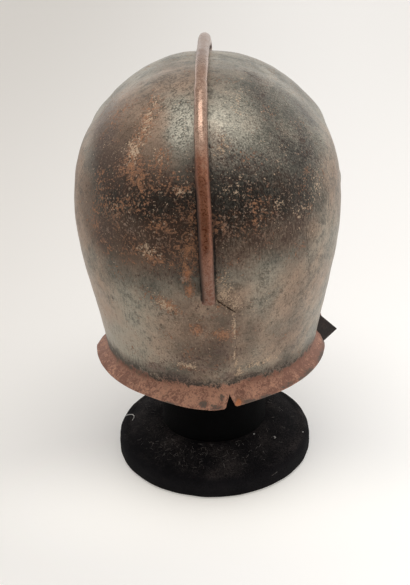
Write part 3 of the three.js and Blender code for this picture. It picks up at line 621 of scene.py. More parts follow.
def stain(piece):
    mesh = piece.data
    points = np.empty(len(mesh.vertices) * 3)
    mesh.vertices.foreach_get("co", points)
    points = points.reshape(-1, 3) * 1000
    fields = {name: stainField(points, spots) for name, spots in stains.items()}
    # Painted sheen: less warm tint, so greener, where the highlight falls beside the comb.
    fields["warm"] = 0.28 + fields["warm"] * 0.7 - 0.28 * sheenField(points)
    x, y, z = points.T
    behind, farBehind = smooth((20 - y) / 40), smooth(-y / 20)
    middle = smooth((z - 215) / 30) * (1 - smooth((z - 270) / 30))
    upper = smooth((z - 222) / 20) * (1 - smooth((z - 324) / 14))
    # More crackle contrast under the painted sheen.
    fields["crackle"] = 0.42 + 0.85 * sheenField(points, 0.1) + 0.2 * middle
    fields["fleck"] = 0.55 * ripple(points, 26, 9) - 0.6 * smooth((x - 2) / 18) * behind + 0.45
    # Scratches low on the left; the same share paints a sheen there on the iron.
    fields["scratchesAndSheen"] = smooth((-20 - x) / 40) * (1 - smooth((z - 170) / 40)) * farBehind
    fields["streak"] = 0.35 + 0.65 * smooth(x / 14) * upper * behind
    fields["flake"] = 0.5 + 0.22 * smooth(-(x + 15) / 50) * farBehind - 0.12 * smooth((x - 10) / 40)
    # The bare share carries painted reflection and sheen, the crease share painted shade.
    fields["bare"], fields["creaseShade"] = bareField(points), creaseShadeField(points)
    for name, values in fields.items():
        layer = mesh.attributes.get(name) or mesh.attributes.new(name, "FLOAT", "POINT")
        layer.data.foreach_set("value", values.astype(np.float32))


# Skull

skull = {
    "plate": 1.6, "widestY": -5, "pivotY": 30, "pivotZ": 233, "pivotHole": 3.45,
    "domeRise": 102.8, "domeReach": 115.0, "browZ": 252, "neckZ": 113.5,
    "templeTopZ": 250, "templeBlend": 58, "rightInset": -0.5, "leftInset": 1.1, "insetSpan": 10,
    "flangeOut": (7.8, 10.0), "flangeLeft": 9.6, "flangeDrop": (7.5, 13.2), "flangeCurve": 1.35,
    "flangePoint": 20, "flangeSlant": (0.16, 0.78), "flangeDent": (0.12, 16),
    "lapReach": 19.6, "lapLift": 2.1, "lapEdgeLift": 1.2, "lapEdgeSpan": 8, "lapFade": 30,
    "lapZ": (187.4, 203.9, 217), "notch": ((15.4, 109.6), (27.4, 92), (8.2, 92)),
    "edgeWear": 0.42, "innerWear": 0.6, "dent": (0.13, 0.08, 0.04), "dentSize": (58, 24, 9),
    "frontStray": -0.2, "frontStrayRun": 60, "strayWide": 14,
}
combStray = {  # sideways, to the right low on the back and to the left over the crown
    "z": (130, 180, 199, 229, 251, 276, 289, 304, 336),
    "x": (0, 2.2, 2.8, 2.3, 2.0, 1.2, 0.3, -0.4, -1.3),
}
skullRows = {
    "z": (113.5, 122, 145, 175, 205, 233, 240, 262, 282, 303, 318, 328, 336),
    "half": (86.2, 87.4, 91.2, 96.7, 101.2, *[102.8] * 8),
    "temple": (82.4, 83.9, 88.0, 93.6, 97.3, *[98.2] * 8),
    "rear": (90.5, 92.6, 99.0, 107.2, 113.4, *[115.0] * 8),
    "front": (60, 64, 78, 92, 100, *[102.8] * 8),
    "shape": (2.0, 2.0, 2.02, 2.06, 2.1, 2.12, 2.12, 2.22, 2.26, 2.03, 2.02, 2.04, 2.14),
}
faceEdge = {
    "z": (96, 113.5, 121, 132, 150, 175, 200, 220, 236, 252),
    "y": (-3, -1.5, 2, 13, 21, 28, 37, 47, 55, 64),
}


def skullLevel(z):
    columns = ("half", "temple", "rear", "front", "shape")
    level = {column: follow(skullRows, z, column) for column in columns}
    lift = np.clip((z - skull["pivotZ"]) / skull["domeRise"], 0, 1)
    flat = np.sqrt(1 - lift ** 2)
    level["rear"] = level["rear"] * flat
    level["front"] = level["front"] * flat
    blend = smooth((z - skull["templeTopZ"]) / skull["templeBlend"])
    level["temple"] = lerp(level["temple"], level["half"], blend)
    level["lift"], level["flat"] = lift, flat
    return level


def planPoint(level, turn):  # 0 at the nape, 1 at the widest place, 2 beside the pivot, 3 at the brow
    side = np.where(turn < 0, -1, 1)
    turn = np.abs(turn)

    def swell(reach):
        far = np.minimum(1, np.hypot(reach * level["flat"], level["lift"]))
        return np.maximum(0, 1 - far ** level["shape"]) ** (1 / level["shape"])

    back = np.cos(np.minimum(turn, 1) * quarter)
    ahead = np.sin(np.clip(turn - 2, 0, 1) * quarter)
    middle = lerp(level["half"], level["temple"], smooth(turn - 1)) * swell(0)
    fromMiddle = np.where(turn < 2, middle, level["temple"] * swell(ahead))
    x = np.where(turn < 1, level["half"] * swell(back), fromMiddle)
    between = lerp(skull["widestY"], skull["pivotY"], turn - 1)
    fromMiddle = np.where(turn < 2, between, skull["pivotY"] + level["front"] * ahead)
    y = np.where(turn < 1, skull["widestY"] - level["rear"] * back, fromMiddle)
    return side * x, y


def edgeTurn(z):
    y = follow(faceEdge, z, "y")
    past = np.clip((y - skull["pivotY"]) / skullLevel(z)["front"], 0, 1)
    before = (y - skull["widestY"]) / (skull["pivotY"] - skull["widestY"])
    return np.where(y <= skull["pivotY"], 1 + before, 2 + np.arcsin(past) / quarter)


def rowZ(v):  # 0 at the flange's rim, 1 at the neck, 2 at the brow's level, 3 at the crown
    low = math.asin((skull["browZ"] - skull["pivotZ"]) / skull["domeRise"])
    wall = lerp(skull["neckZ"], skull["browZ"], np.clip(v - 1, 0, 1))
    return np.where(v <= 2, wall, skull["pivotZ"] + skull["domeRise"] * np.sin(lerp(low, quarter, v - 2)))


def flangeShape(end, side=None):
    out = lerp(side or skull["flangeOut"][0], skull["flangeOut"][1], end)
    drop = lerp(*skull["flangeDrop"], end ** skull["flangePoint"])
    return out, drop


def lapAt(z):
    low, high = skull["lapZ"][:2]
    return skull["lapReach"] * (1 - np.clip((z - low) / (high - low), 0, 1))


def lapHold(z):
    low, high = skull["lapZ"][1:]
    return 1 - smooth((z - low) / (high - low))


def skullTurn(u, z, lapped):
    edge = edgeTurn(np.minimum(z, skull["browZ"]))
    start = -lapAt(z) / (skullLevel(z)["half"] * quarter) if lapped else 0
    return np.where(u <= 1, lerp(start, edge, u), lerp(edge, 3, u - 1))


def skullSurface(lapped):
    def surface(u, v):
        z = rowZ(v)
        level = skullLevel(z)
        share = np.clip(1 - v, 0, 1)
        slant, slantFrom = skull["flangeSlant"]
        turn = skullTurn(u, z, lapped) - slant * share * smooth((u - slantFrom) / (1 - slantFrom))
        x, y = planPoint(level, turn)
        nextX, nextY = planPoint(level, turn + 0.01)
        lastX, lastY = planPoint(level, turn - 0.01)
        far = np.maximum(np.hypot(nextX - lastX, nextY - lastY), 1e-9)
        nape = np.cos(np.minimum(np.abs(turn), 1) * quarter)
        out, drop = flangeShape(nape, skull["flangeLeft"] if lapped else None)
        x = x + (nextY - lastY) / far * out * share ** skull["flangeCurve"]
        y = y - (nextX - lastX) / far * out * share ** skull["flangeCurve"]
        inset = skull["rightInset"]
        if lapped:
            inset = skull["leftInset"] * (1 - lapAt(z) / skull["lapReach"])
        x = x + inset * np.exp(-np.abs(x) / skull["insetSpan"])
        return np.stack([x, y, z - drop * share], -1)
    return surface


def strayed(points):  # carries the comb and the plates' edges beside it sideways
    x, y, z = np.moveaxis(np.asarray(points, float), -1, 0)
    back = np.where(y < skull["widestY"], follow(combStray, z, "x"), combStray["x"][-1])
    front = skull["frontStray"] * smooth((y - skull["widestY"]) / skull["frontStrayRun"])
    return np.stack([x + (back + front) * np.exp(-(x / skull["strayWide"]) ** 2), y, z], -1)


def dentDepth(points):  # fades out where the visor and the bevor lie close
    free = np.maximum(smooth((14 - points[..., 1]) / 30), smooth((points[..., 2] - 272) / 16))
    dents = enumerate(zip(skull["dent"], skull["dentSize"]))
    return free * sum(depth * ripple(points, size, 11 + i) for i, (depth, size) in dents)


def skullShell(name, lapped):
    columns = spread(0, 1, 0.003, 38, 0.2, 84, 0.997, 1, 1, 1, 1.004, 54, 2)
    rows = spread(0, 1, 0.035, 22, 0.965, 2, 1.02, 24, 1.16, 88, 1.996, 1, 2, 1, 2.005, 74, 3)
    u, v = np.meshgrid(columns, rows)
    surface = skullSurface(lapped)
    base = surface(u, v)
    out = outwardOf(surface, u, v, (0, 2), (0, 3))
    out[v > 2.999] = (0, 0, 1)
    midU, midV = np.meshgrid((columns[1:] + columns[:-1]) / 2, (rows[1:] + rows[:-1]) / 2)
    cells = (midU < 1) | (midV > 2)
    wear = rimShare(cells) * skull["edgeWear"]
    side = np.array([-1, 1, 1]) if lapped else np.array([1, 1, 1])
    lift, thin = 0, 0
    if lapped:
        z = rowZ(v)
        along = skullTurn(u, z, True) * skullLevel(z)["half"] * quarter
        share = lapHold(z) * (1 - smooth(along / skull["lapFade"]))
        rise = skull["lapLift"] - skull["lapEdgeLift"]
        edge = 1 - smooth((along + lapAt(z)) / skull["lapEdgeSpan"])
        thin = share * rise * edge * lapAt(z) / skull["lapReach"]
        lift = skull["lapLift"] * share - thin
    depth, size = skull["flangeDent"]
    dent = dentDepth(base * side) + depth * np.clip(1 - v, 0, 1) * ripple(base * side, size, 31)
    outer = base + out * (lift + dent - wear)[..., None]
    inner = base + out * (lift - skull["plate"] + thin + dent + wear * skull["innerWear"])[..., None]
    points, faces = shellParts(strayed(outer * side), strayed(inner * side), cells)
    piece = makePiece(name, points, faces if not lapped else [f[::-1] for f in faces])
    weld(piece)
    cutAway(piece, skullCutter())
    return piece


def prism(outline, low, high, axis):  # outline in the plane across the axis
    points = []
    for level in (low, high):
        for a, b in outline:
            points.append((level, a, b) if axis == "x" else (a, level, b))
    count = len(outline)
    faces = [list(range(count)), list(range(2 * count - 1, count - 1, -1))]
    faces += [[i, i + count, (i + 1) % count + count, (i + 1) % count] for i in range(count)]
    return np.array(points, float), faces


def stacked(*solids):
    points, faces, start = [], [], 0
    for solidPoints, solidFaces in solids:
        points.append(solidPoints)
        faces.extend([[i + start for i in face] for face in solidFaces])
        start += len(solidPoints)
    return np.concatenate(points), faces


def ring(radius, y, z, count=32):
    angles = np.arange(count) * 2 * math.pi / count
    return [(y + radius * math.cos(a), z + radius * math.sin(a)) for a in angles]


def cutterFrom(*solids):
    cutter = makePiece("cutter", *stacked(*solids))
    weld(cutter)
    return cutter


def pivotHole():
    return prism(ring(skull["pivotHole"], skull["pivotY"], skull["pivotZ"]), -130, 130, "x")


def skullCutter():
    return cutterFrom(pivotHole(), prism(skull["notch"], -140, -60, "y"))


# Comb

comb = {
    "height": 13.8, "half": 4.7, "wall": 1.5, "leftFace": -2.6, "slot": (-1.1, 1.6),
    "blade": (-0.5, 0.9), "bladeTrim": 6, "root": -1.2, "lift": 0.5, "rearZ": 199.6, "frontDeg": 23,
    "rearEnd": 6.6, "frontEnd": 6.0, "rearTaper": 45, "frontTaper": 32, "flare": 3, "flareZ": (262, 302),
    "stations": 300, "uneven": 0.09,
}


def combPath():
    rise, reach = skull["domeRise"], skull["domeReach"]
    z = np.linspace(comb["rearZ"], skull["pivotZ"], 60)
    up = np.stack([skull["widestY"] - skullLevel(z)["rear"], z], -1)
    a = np.linspace(0, quarter, 160)[1:]
    back = np.stack([skull["widestY"] - reach * np.cos(a), skull["pivotZ"] + rise * np.sin(a)], -1)
    y = np.linspace(skull["widestY"], skull["pivotY"], 30)[1:]
    top = np.stack([y, np.full(len(y), skull["pivotZ"] + rise)], -1)
    a = np.linspace(quarter, math.radians(comb["frontDeg"]), 110)[1:]
    front = np.stack([skull["pivotY"] + rise * np.cos(a), skull["pivotZ"] + rise * np.sin(a)], -1)
    return np.concatenate([up, back, top, front])


def rollSection(height, lift, flare, detail):
    tall = min(comb["half"], (height - comb["lift"]) / 2)
    mid = height - tall
    inner = comb["half"] - comb["wall"]

    def arc(wide, high, start, end, count):
        angle = np.linspace(start, end, count)
        return np.stack([wide * np.cos(angle), mid + high * np.sin(angle)], -1)

    leftOut = math.pi + math.acos(-comb["leftFace"] / comb["half"])
    rightOut = -math.acos(comb["slot"][1] / comb["half"])
    leftIn = math.pi + math.acos(-comb["slot"][0] / inner)
    rightIn = -math.acos(comb["slot"][1] * 0.9 / inner)
    foot = comb["root"] + lift
    bottom, top = [comb["leftFace"] - flare, foot], [comb["leftFace"], mid + tall * math.sin(leftOut)]
    left = np.linspace(bottom, top, 7)[:-1]
    left[:, 0] += flare * 0.5 * np.sin(np.linspace(0, math.pi, 7)[:-1])  # hollow where the plate turns up
    outside = arc(comb["half"], tall, leftOut, rightOut, detail)
    inside = arc(inner, tall - comb["wall"], rightIn, leftIn, detail // 2)
    return np.concatenate([left, outside, inside, [[comb["slot"][0], foot]]])


def bladeSection(height, *_):  # called with the same values as rollSection
    top = height - min(comb["half"], (height - comb["lift"]) / 2)
    left, right = comb["blade"]
    return np.array([[left, top], [right, top], [right, comb["root"]], [left, comb["root"]]])


def combPiece(name, section, trim, detail=26):
    path = combPath()
    reach = np.concatenate([[0], np.cumsum(np.linalg.norm(np.diff(path, axis=0), axis=1))])
    shares = np.concatenate([[0], np.linspace(0.0012, 0.9988, comb["stations"] - 1), [1]])
    ends = lerp(trim, reach[-1] - trim, shares)
    spots = np.stack([np.interp(ends, reach, path[:, 0]), np.interp(ends, reach, path[:, 1])], -1)
    ahead = np.gradient(spots, ends, axis=0)
    ahead /= np.linalg.norm(ahead, axis=1, keepdims=True)
    out = np.stack([-ahead[:, 1], ahead[:, 0]], -1)
    flareLow, flareHigh = comb["flareZ"]
    rings = []
    for along, (y, z), (outY, outZ) in zip(ends, spots, out):
        taper = smooth((reach[-1] - along) / comb["frontTaper"])
        rear = lerp(comb["rearEnd"], comb["height"], smooth(along / comb["rearTaper"]))
        front = lerp(comb["frontEnd"], comb["height"], taper)
        flare = comb["flare"] * smooth((z - flareLow) / (flareHigh - flareLow)) * taper
        across, rise = section(min(rear, front), skull["lapLift"] * lapHold(z), flare, detail).T
        rings.append(np.stack([across, y + outY * rise, z + outZ * rise], -1))
    grid = np.stack(rings)
    if detail > 8:
        free = smooth((60 - grid[..., 1]) / 60)  # even where the visor passes over it
        waves = ripple(grid, 34, 41) + 0.6 * ripple(grid, 11, 42)
        push = free * comb["uneven"] * waves - (1 - free) * 0.12
        away = grid - grid.mean(1, keepdims=True)
        away /= np.maximum(np.linalg.norm(away, axis=-1, keepdims=True), 1)
        grid = grid + away * push[..., None]
    piece = makePiece(name, strayed(grid.reshape(-1, 3)), ringFaces(*grid.shape[:2]))
    weld(piece)
    settle(piece, 45)
    return piece


def buildSkull():
    left = skullShell("skullLeftPlate", True)
    right = skullShell("skullRightPlate", False)
    roll = combPiece("combRoll", rollSection, 0)
    blade = combPiece("combBlade", bladeSection, comb["bladeTrim"], 4)
    for plate, fold in ((left, roll), (right, blade)):
        plate.data.materials.append(skullIron)
        fold.data.materials.append(combIron)
        stain(plate)
        stain(fold)
        joinInto(plate, fold)
        settle(plate)
    return left, right


skullLeft, skullRight = buildSkull()
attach(skullLeft, "skull_and_stand")
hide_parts("skull_left")
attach(skullRight, "skull_and_stand")
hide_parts("skull_right")
print("skull done", len(skullLeft.data.polygons), len(skullRight.data.polygons))


# Visor and bevor: turn 0 at the arm's end, 1 beside the pivot, 2 at the middle of the face

visor = {
    "arm": 16, "topZ": 262, "lowZ": 180, "shape": 2.26, "keelHalf": 17.5, "plate": 1.6,
    "sight": (240, 7, 15, 84), "breath": (6, 216.5, 15, 4, 24, 8.5),
}
visorRows = {
    "z": (180, 187, 198, 211, 225, 240, 251, 262),
    "side": (102.4, 103.0, 103.6, 103.8, 103.6, 103.6, 103.2, 99.4),
    "front": (104.0, 110.5, 118.5, 122.0, 115.5, 108.0, 105.3, 101.8),
    "keel": (3.0, 4.5, 6.5, 9.0, 12.0, 14.0, 14.6, 14.6),
}
bevor = {"arm": 14, "shape": 2.26, "plate": 1.6, "nominalFront": 104}
bevorRows = {
    "z": (113.5, 130, 150, 175, 200, 215, 249),
    "side": (86.6, 89.4, 93.4, 98.0, 100.9, 101.4, 101.4),
    "front": (60, 66, 78, 97, 103.4, 105, 105),
    "keel": (1.0, 1.5, 2.0, 2.0, 1.5, 1.0, 1.0),
}
bevorTop = {
    "y": (30, 36, 41, 46, 53, 62, 75, 100, 130),
    "z": (247, 245.6, 241.8, 234, 222, 213, 208.6, 208, 208),
}


def facePlan(side, front, shape, turn):
    a = np.clip(turn - 1, 0, 1) * quarter
    return side * np.cos(a) ** (2 / shape), skull["pivotY"] + front * np.sin(a) ** (2 / shape)


def keelShare(x):
    return 0.5 * (1 + np.cos(math.pi * np.clip(x / visor["keelHalf"], -1, 1)))


def visorSurface(turn, v):
    side = np.where(turn > 2, -1, 1)
    turn = np.where(turn > 2, 4 - turn, turn)
    a = lerp(0.14, 1, np.clip(turn, 0, 1)) * quarter
    swell = np.sin(np.clip(turn - 1, 0, 1) * quarter)
    low = lerp(skull["pivotZ"] - visor["arm"], visor["lowZ"], swell ** 1.2)
    high = lerp(skull["pivotZ"] + visor["arm"], visor["topZ"], swell)
    z = np.where(turn < 1, skull["pivotZ"] + visor["arm"] * np.sin(a) * (2 * v - 1), lerp(low, high, v))
    sideAt = follow(visorRows, z, "side")
    x, y = facePlan(sideAt, follow(visorRows, z, "front"), visor["shape"], turn)
    y = y + follow(visorRows, z, "keel") * keelShare(x)
    x = np.where(turn < 1, sideAt, x)
    y = np.where(turn < 1, skull["pivotY"] - visor["arm"] * np.cos(a), y)
    return np.stack([side * x, y, z], -1)


def bevorSurface(turn, v):
    side = np.where(turn > 2, -1, 1)
    turn = np.where(turn > 2, 4 - turn, turn)
    rise, share = np.clip(v - 1, 0, 1), np.clip(1 - v, 0, 1)
    a = lerp(0.1, 1, np.clip(turn, 0, 1)) * quarter
    nominal = facePlan(1, bevor["nominalFront"], bevor["shape"], turn)[1]
    armTop = skull["pivotZ"] + bevor["arm"] * np.sin(a)
    top = np.where(turn < 1, armTop, follow(bevorTop, nominal, "z", "y"))
    z = lerp(skull["neckZ"], top, rise)
    sideAt, frontAt = follow(bevorRows, z, "side"), follow(bevorRows, z, "front")
    x, y = facePlan(sideAt, frontAt, bevor["shape"], turn)
    nextX, nextY = facePlan(sideAt, frontAt, bevor["shape"], np.minimum(2, turn + 0.01))
    lastX, lastY = facePlan(sideAt, frontAt, bevor["shape"], np.maximum(1, turn - 0.01))
    far = np.maximum(np.hypot(nextX - lastX, nextY - lastY), 1e-9)
    outX = np.where(turn < 1, 1, (nextY - lastY) / far)
    outY = np.where(turn < 1, 0, -(nextX - lastX) / far)
    y = y + follow(bevorRows, z, "keel") * keelShare(x / 2)
    x = np.where(turn < 1, sideAt, x)
    y = np.where(turn < 1, skull["pivotY"] - bevor["arm"] * np.cos(a), y)
    out, drop = flangeShape(np.where(turn < 1, 0, np.sin(np.clip(turn - 1, 0, 1) * quarter) ** 2))
    bend = out * share ** skull["flangeCurve"] * np.where(turn < 1, smooth(turn), 1)
    return np.stack([side * (x + outX * bend), y + outY * bend, z - drop * share], -1)


def bothSides(half):
    return np.concatenate([half, (4 - half[:-1])[::-1]])


def facePlate(name, surface, columns, rows, vEnd, plate, cutter):
    u, v = np.meshgrid(columns, rows)
    base = surface(u, v)
    out = outwardOf(surface, u, v, (0, 4), (0, vEnd))
    cells = np.ones((len(rows) - 1, len(columns) - 1), bool)
    wear = rimShare(cells) * skull["edgeWear"]
    outer = base - out * wear[..., None]
    inner = base - out * (plate - wear * skull["innerWear"])[..., None]
    piece = makePiece(name, *shellParts(outer, inner, cells))
    weld(piece)
    cutAway(piece, cutter)
    piece.data.materials.append(skullIron)
    stain(piece)
    settle(piece)
    return piece


def slotOutline(x, z, wide, high, count=7):  # a slot with round ends
    radius = min(wide, high) / 2 * 0.98
    outline = []
    for start, cx, cz in ((0, 1, 1), (1, -1, 1), (2, -1, -1), (3, 1, -1)):
        for a in np.linspace(start, start + 1, count) * quarter:
            across = x + cx * (wide / 2 - radius) + radius * math.cos(a)
            up = z + cz * (high / 2 - radius) + radius * math.sin(a)
            outline.append((across, up))
    return outline


def visorCutter():
    solids = [pivotHole()]
    z, high, inner, outer = visor["sight"]
    count, breathZ, breathHigh, breathWide, first, pitch = visor["breath"]
    for side in (-1, 1):
        slots = [slotOutline(side * (inner + outer) / 2, z, outer - inner, high)]
        for i in range(count):
            slots.append(slotOutline(side * (first + i * pitch), breathZ, breathWide, breathHigh))
        solids.extend(prism(slot, 60, 200, "y") for slot in slots)
    return cutterFrom(*solids)


visorColumns = bothSides(spread(0, 1, 0.02, 9, 1, 34, 1.5, 26, 1.82, 30, 2))
visorLevels = spread(0, 1, 0.007, 46, 0.993, 1, 1)
visorHoles = visorCutter()
visorPlate = facePlate("visorPlate", visorSurface, visorColumns, visorLevels, 1, visor["plate"], visorHoles)
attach(visorPlate, "visor")
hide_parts("visor")
bevorColumns = bothSides(spread(0, 1, 0.02, 9, 1, 42, 1.5, 40, 2))
bevorLevels = spread(0, 1, 0.035, 12, 1, 60, 1.996, 1, 2)
bevorHoles = cutterFrom(pivotHole())
bevorPlate = facePlate("bevorPlate", bevorSurface, bevorColumns, bevorLevels, 2, bevor["plate"], bevorHoles)
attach(bevorPlate, "bevor")
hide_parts("bevor")
print("visor and bevor done", len(visorPlate.data.polygons), len(bevorPlate.data.polygons))


# Pivot bolts

bolt = {
    "shank": 3.0, "head": 7.5, "under": 104.0, "top": 106.4, "rim": 0.6, "edge": 0.3,
    "inner": 5.5, "innerFace": 95.9, "innerEnd": 93.9, "innerEdge": 0.5,
}


def boltPiece(name, side):
    shank, head, under, top = (bolt[key] for key in ("shank", "head", "under", "top"))
    inner, face, end, edge = (bolt[key] for key in ("inner", "innerFace", "innerEnd", "innerEdge"))
    start = under + bolt["rim"]
    angles = np.linspace(0, quarter, 12)[:-1]
    dome = [(head * math.cos(a), start + (top - start) * math.sin(a)) for a in angles]
    profile = [
        (0, end), (inner - edge, end), (inner, end + edge), (inner, face), (shank, face), (shank, under),
        (head - bolt["edge"], under), (head, under + bolt["edge"]), *dome, (0, top),
    ]
    points, faces = turned(profile, 40)
    x, y, z = points.T
    points = np.stack([side * z, x + skull["pivotY"], side * y + skull["pivotZ"]], -1)
    piece = makePiece(name, points, faces)
    weld(piece)
    piece.data.materials.append(skullIron)
    stain(piece)
    settle(piece)
    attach(piece, "skull_and_stand")
    return piece


boltSides = (("pivotBoltLeft", "pivot_left", -1), ("pivotBoltRight", "pivot_right", 1))
for boltName, boltNode, boltSide in boltSides:
    boltMade = boltPiece(boltName, boltSide)
    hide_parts(boltNode)
print("bolts done")


# Closing strap and the rivet that holds it

strap = {
    "wide": 18, "thick": 2.4, "wallX": 82.0, "outY": 11, "turn": 7, "endX": 99.2, "endZ": 98.6,
    "slope": math.radians(43), "rootRun": 12, "hole": 1.9,
    "rivetAlong": 9, "rivetRadius": 4, "rivetShank": 1.5, "rivetEndX": 85.5, "rivetHead": 1.6,
    "rivetGap": 0.3,
}
strapArc = strap["turn"] * quarter
strapFlat = strap["rootRun"] + strapArc + strap["endX"] - strap["wallX"] - strap["turn"]
strapLength = strapFlat / math.cos(strap["slope"])


def strapSurface(u, v):
    length, across = u * strapLength, (v - 0.5) * strap["wide"]
    along = length * math.cos(strap["slope"]) + across * math.sin(strap["slope"])
    turnY = strap["outY"] - strap["turn"]
    a = np.clip((along - strap["rootRun"]) / strap["turn"], 0, quarter)
    past = along - strap["rootRun"]
    x = strap["wallX"] + strap["turn"] * (1 - np.cos(a)) + np.maximum(0, past - strapArc)
    y = turnY + strap["turn"] * np.sin(a) + np.minimum(0, past)
    rise = (strapLength - length) * math.sin(strap["slope"]) + across * math.cos(strap["slope"])
    z = strap["endZ"] + rise
    return np.stack([x, y, z], -1)


def strapPiece():
    columns = spread(0, 1, 0.006, 70, 0.994, 1, 1)
    rows = spread(0, 1, 0.02, 1, 0.05, 16, 0.95, 1, 0.98, 1, 1)
    u, v = np.meshgrid(columns, rows)
    base = strapSurface(u, v)
    out = outwardOf(strapSurface, u, v, (0, 1), (0, 1))
    edge = np.minimum.reduce([v, 1 - v, u * 2, (1 - u) * 2])
    thick = strap["thick"] / 2 * (0.55 + 0.45 * smooth(edge / 0.05))
    thick = (thick + 0.05 * ripple(base, 5, 61) * smooth(edge / 0.08))[..., None]
    cells = np.ones((len(rows) - 1, len(columns) - 1), bool)
    piece = makePiece("strapEnd", *shellParts(base + out * thick, base - out * thick, cells), 60)
    weld(piece)
    place = strapSurface(np.array(strap["rivetAlong"] / strapLength), np.array(0.5))
    cutAway(piece, cutterFrom(prism(ring(strap["hole"], place[1], place[2], 20), 60, 100, "x")))
    piece.data.materials.append(strapLeather)
    settle(piece, 50)
    return piece, place


def rivetPiece(place):
    seat = place[0] - strap["thick"] / 2 - strap["rivetGap"]
    radius, shank, head = strap["rivetRadius"], strap["rivetShank"], strap["rivetHead"]
    end = strap["rivetEndX"] - seat
    dome = [(radius * math.cos(a), -head * math.sin(a)) for a in np.linspace(0, quarter, 9)]
    points, faces = turned([(0, -head), *dome[-2::-1], (shank, 0), (shank, end), (0, end)], 24)
    x, y, z = points.T
    piece = makePiece("strapRivet", np.stack([z + seat, x + place[1], y + place[2]], -1), faces)
    weld(piece)
    piece.data.materials.append(skullIron)
    stain(piece)
    settle(piece)
    return piece


strapEnd, rivetSpot = strapPiece()
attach(strapEnd, "skull_and_stand")
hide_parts("closing_strap")
strapRivet = rivetPiece(rivetSpot)
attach(strapRivet, "skull_and_stand")
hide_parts("strap_rivet")
print("strap done")


# Stand covered in black felt

stand = {
    "radius": 83, "rimHigh": 20, "round": 9, "foot": 2, "topZ": 29, "topRadius": 48,
    "neck": 44.5, "neckTop": 112, "neckRound": 6,
    "post": 18, "cap": 50, "sphere": 86, "capTop": 333.8, "capRim": 6,
}
lint = {
    "radius": 0.3, "dullRadius": 0.24, "strands": 320,
    "bright": [
        [(-78.6, 12.0, 18.4), (-77, 11, 19.6), (-75, 10.6, 20.3), (-72.6, 9.4, 21.0),
         (-71.0, 6.2, 21.6), (-70.8, 3.0, 21.7), (-72.0, -0.4, 21.3)],
        [(33.8, -34.4, 29.3), (35.0, -34.0, 29.2)],
        [(51.2, -33.6, 26.3), (52.6, -34.4, 25.9), (51.6, -35.6, 25.8)],
        [(76.2, -17.6, 19.6), (77.0, -17.0, 19.2)],
    ],
    "dull": [(48.3, -67.5, 11.2), (50.4, -65.7, 11.4), (52.8, -63.6, 12.1)],
}


def baseHeight(x, y):  # of the base's upper side
    rim = stand["radius"] - stand["round"]
    share = np.clip((rim - np.hypot(x, y)) / (rim - stand["topRadius"]), 0, 1)
    return lerp(stand["rimHigh"], stand["topZ"], np.sin(share * quarter))


def lintPieces():
    dice = np.random.default_rng(83)
    dull = [tube(np.array(lint["dull"]), lint["dullRadius"])]
    bright = [tube(np.array(path) + [0, 0, lint["radius"]], lint["radius"]) for path in lint["bright"]]
    for _ in range(lint["strands"]):
        angle, far = dice.normal(-1.95, 0.5), dice.uniform(48, 72)
        if dice.uniform() < 0.45:
            angle = dice.uniform(0, 2 * math.pi)
        spot = (far * math.cos(angle), far * math.sin(angle))
        way, bend, reach = dice.uniform(0, math.pi), dice.normal(0, 0.25), dice.uniform(1.0, 4.3)
        steps = np.linspace(-0.5, 0.5, 6) * reach
        bow = bend * steps ** 2 * 0.4
        x = spot[0] + steps * math.cos(way) - bow * math.sin(way)
        y = spot[1] + steps * math.sin(way) + bow * math.cos(way)
        path = np.column_stack([x, y, baseHeight(x, y) + 0.16])
        dull.append(tube(path, dice.uniform(0.05, 0.12), 3))
    pieces = []
    for name, tubes, material in (("lint", bright, paleLint), ("fluff", dull, greyLint)):
        pieces.append(makePiece(name, *stacked(*tubes), 60))
        pieces[-1].data.materials.append(material)
    return pieces


def roundEdge(radius, high, bend, count):  # quarter round from a wall to a top
    angles = np.linspace(0, quarter, count)
    return [(radius - bend * (1 - math.cos(a)), high - bend * (1 - math.sin(a))) for a in angles]


def baseProfile():
    radius, rimHigh, bend, top = (stand[key] for key in ("radius", "rimHigh", "round", "topZ"))
    underside = [(r, 0) for r in (0, 30, 60, radius - stand["foot"])]
    wall = [(radius, h) for h in np.linspace(stand["foot"], rimHigh - bend, 6)[:-1]]
    edge = roundEdge(radius, rimHigh, bend, 12)
    crown = []
    for t in np.linspace(0, 1, 16)[1:]:
        across = lerp(radius - bend, stand["topRadius"], t)
        crown.append((across, lerp(rimHigh, top, math.sin(t * quarter))))
    return [*underside, *wall, *edge, *crown, (44.8, top), (20, top), (0, top)]


def neckProfile():
    low, high, wide, bend = (stand[key] for key in ("topZ", "neckTop", "neck", "neckRound"))
    wall = [(wide, h) for h in np.linspace(low, high - bend, 14)[:-1]]
    return [(0, low), (20, low), *wall, *roundEdge(wide, high, bend, 8), (20, high), (0, high)]


def postProfile():
    high, cap, sphere, rim = (stand[key] for key in ("neckTop", "cap", "sphere", "capRim"))
    angles = np.linspace(math.asin(cap / sphere), 0, 16)
    dome = [(sphere * math.sin(a), stand["capTop"] - sphere * (1 - math.cos(a))) for a in angles]
    rimZ = dome[0][1]
    shaft = [(stand["post"], h) for h in np.linspace(high, rimZ - 3 * rim, 20)]
    under = [(cap - rim, rimZ - 1.6 * rim), (cap - 1.5, rimZ - rim * 1.1), (cap, rimZ - rim * 0.8)]
    return [(0, high), *shaft, *under, *dome]


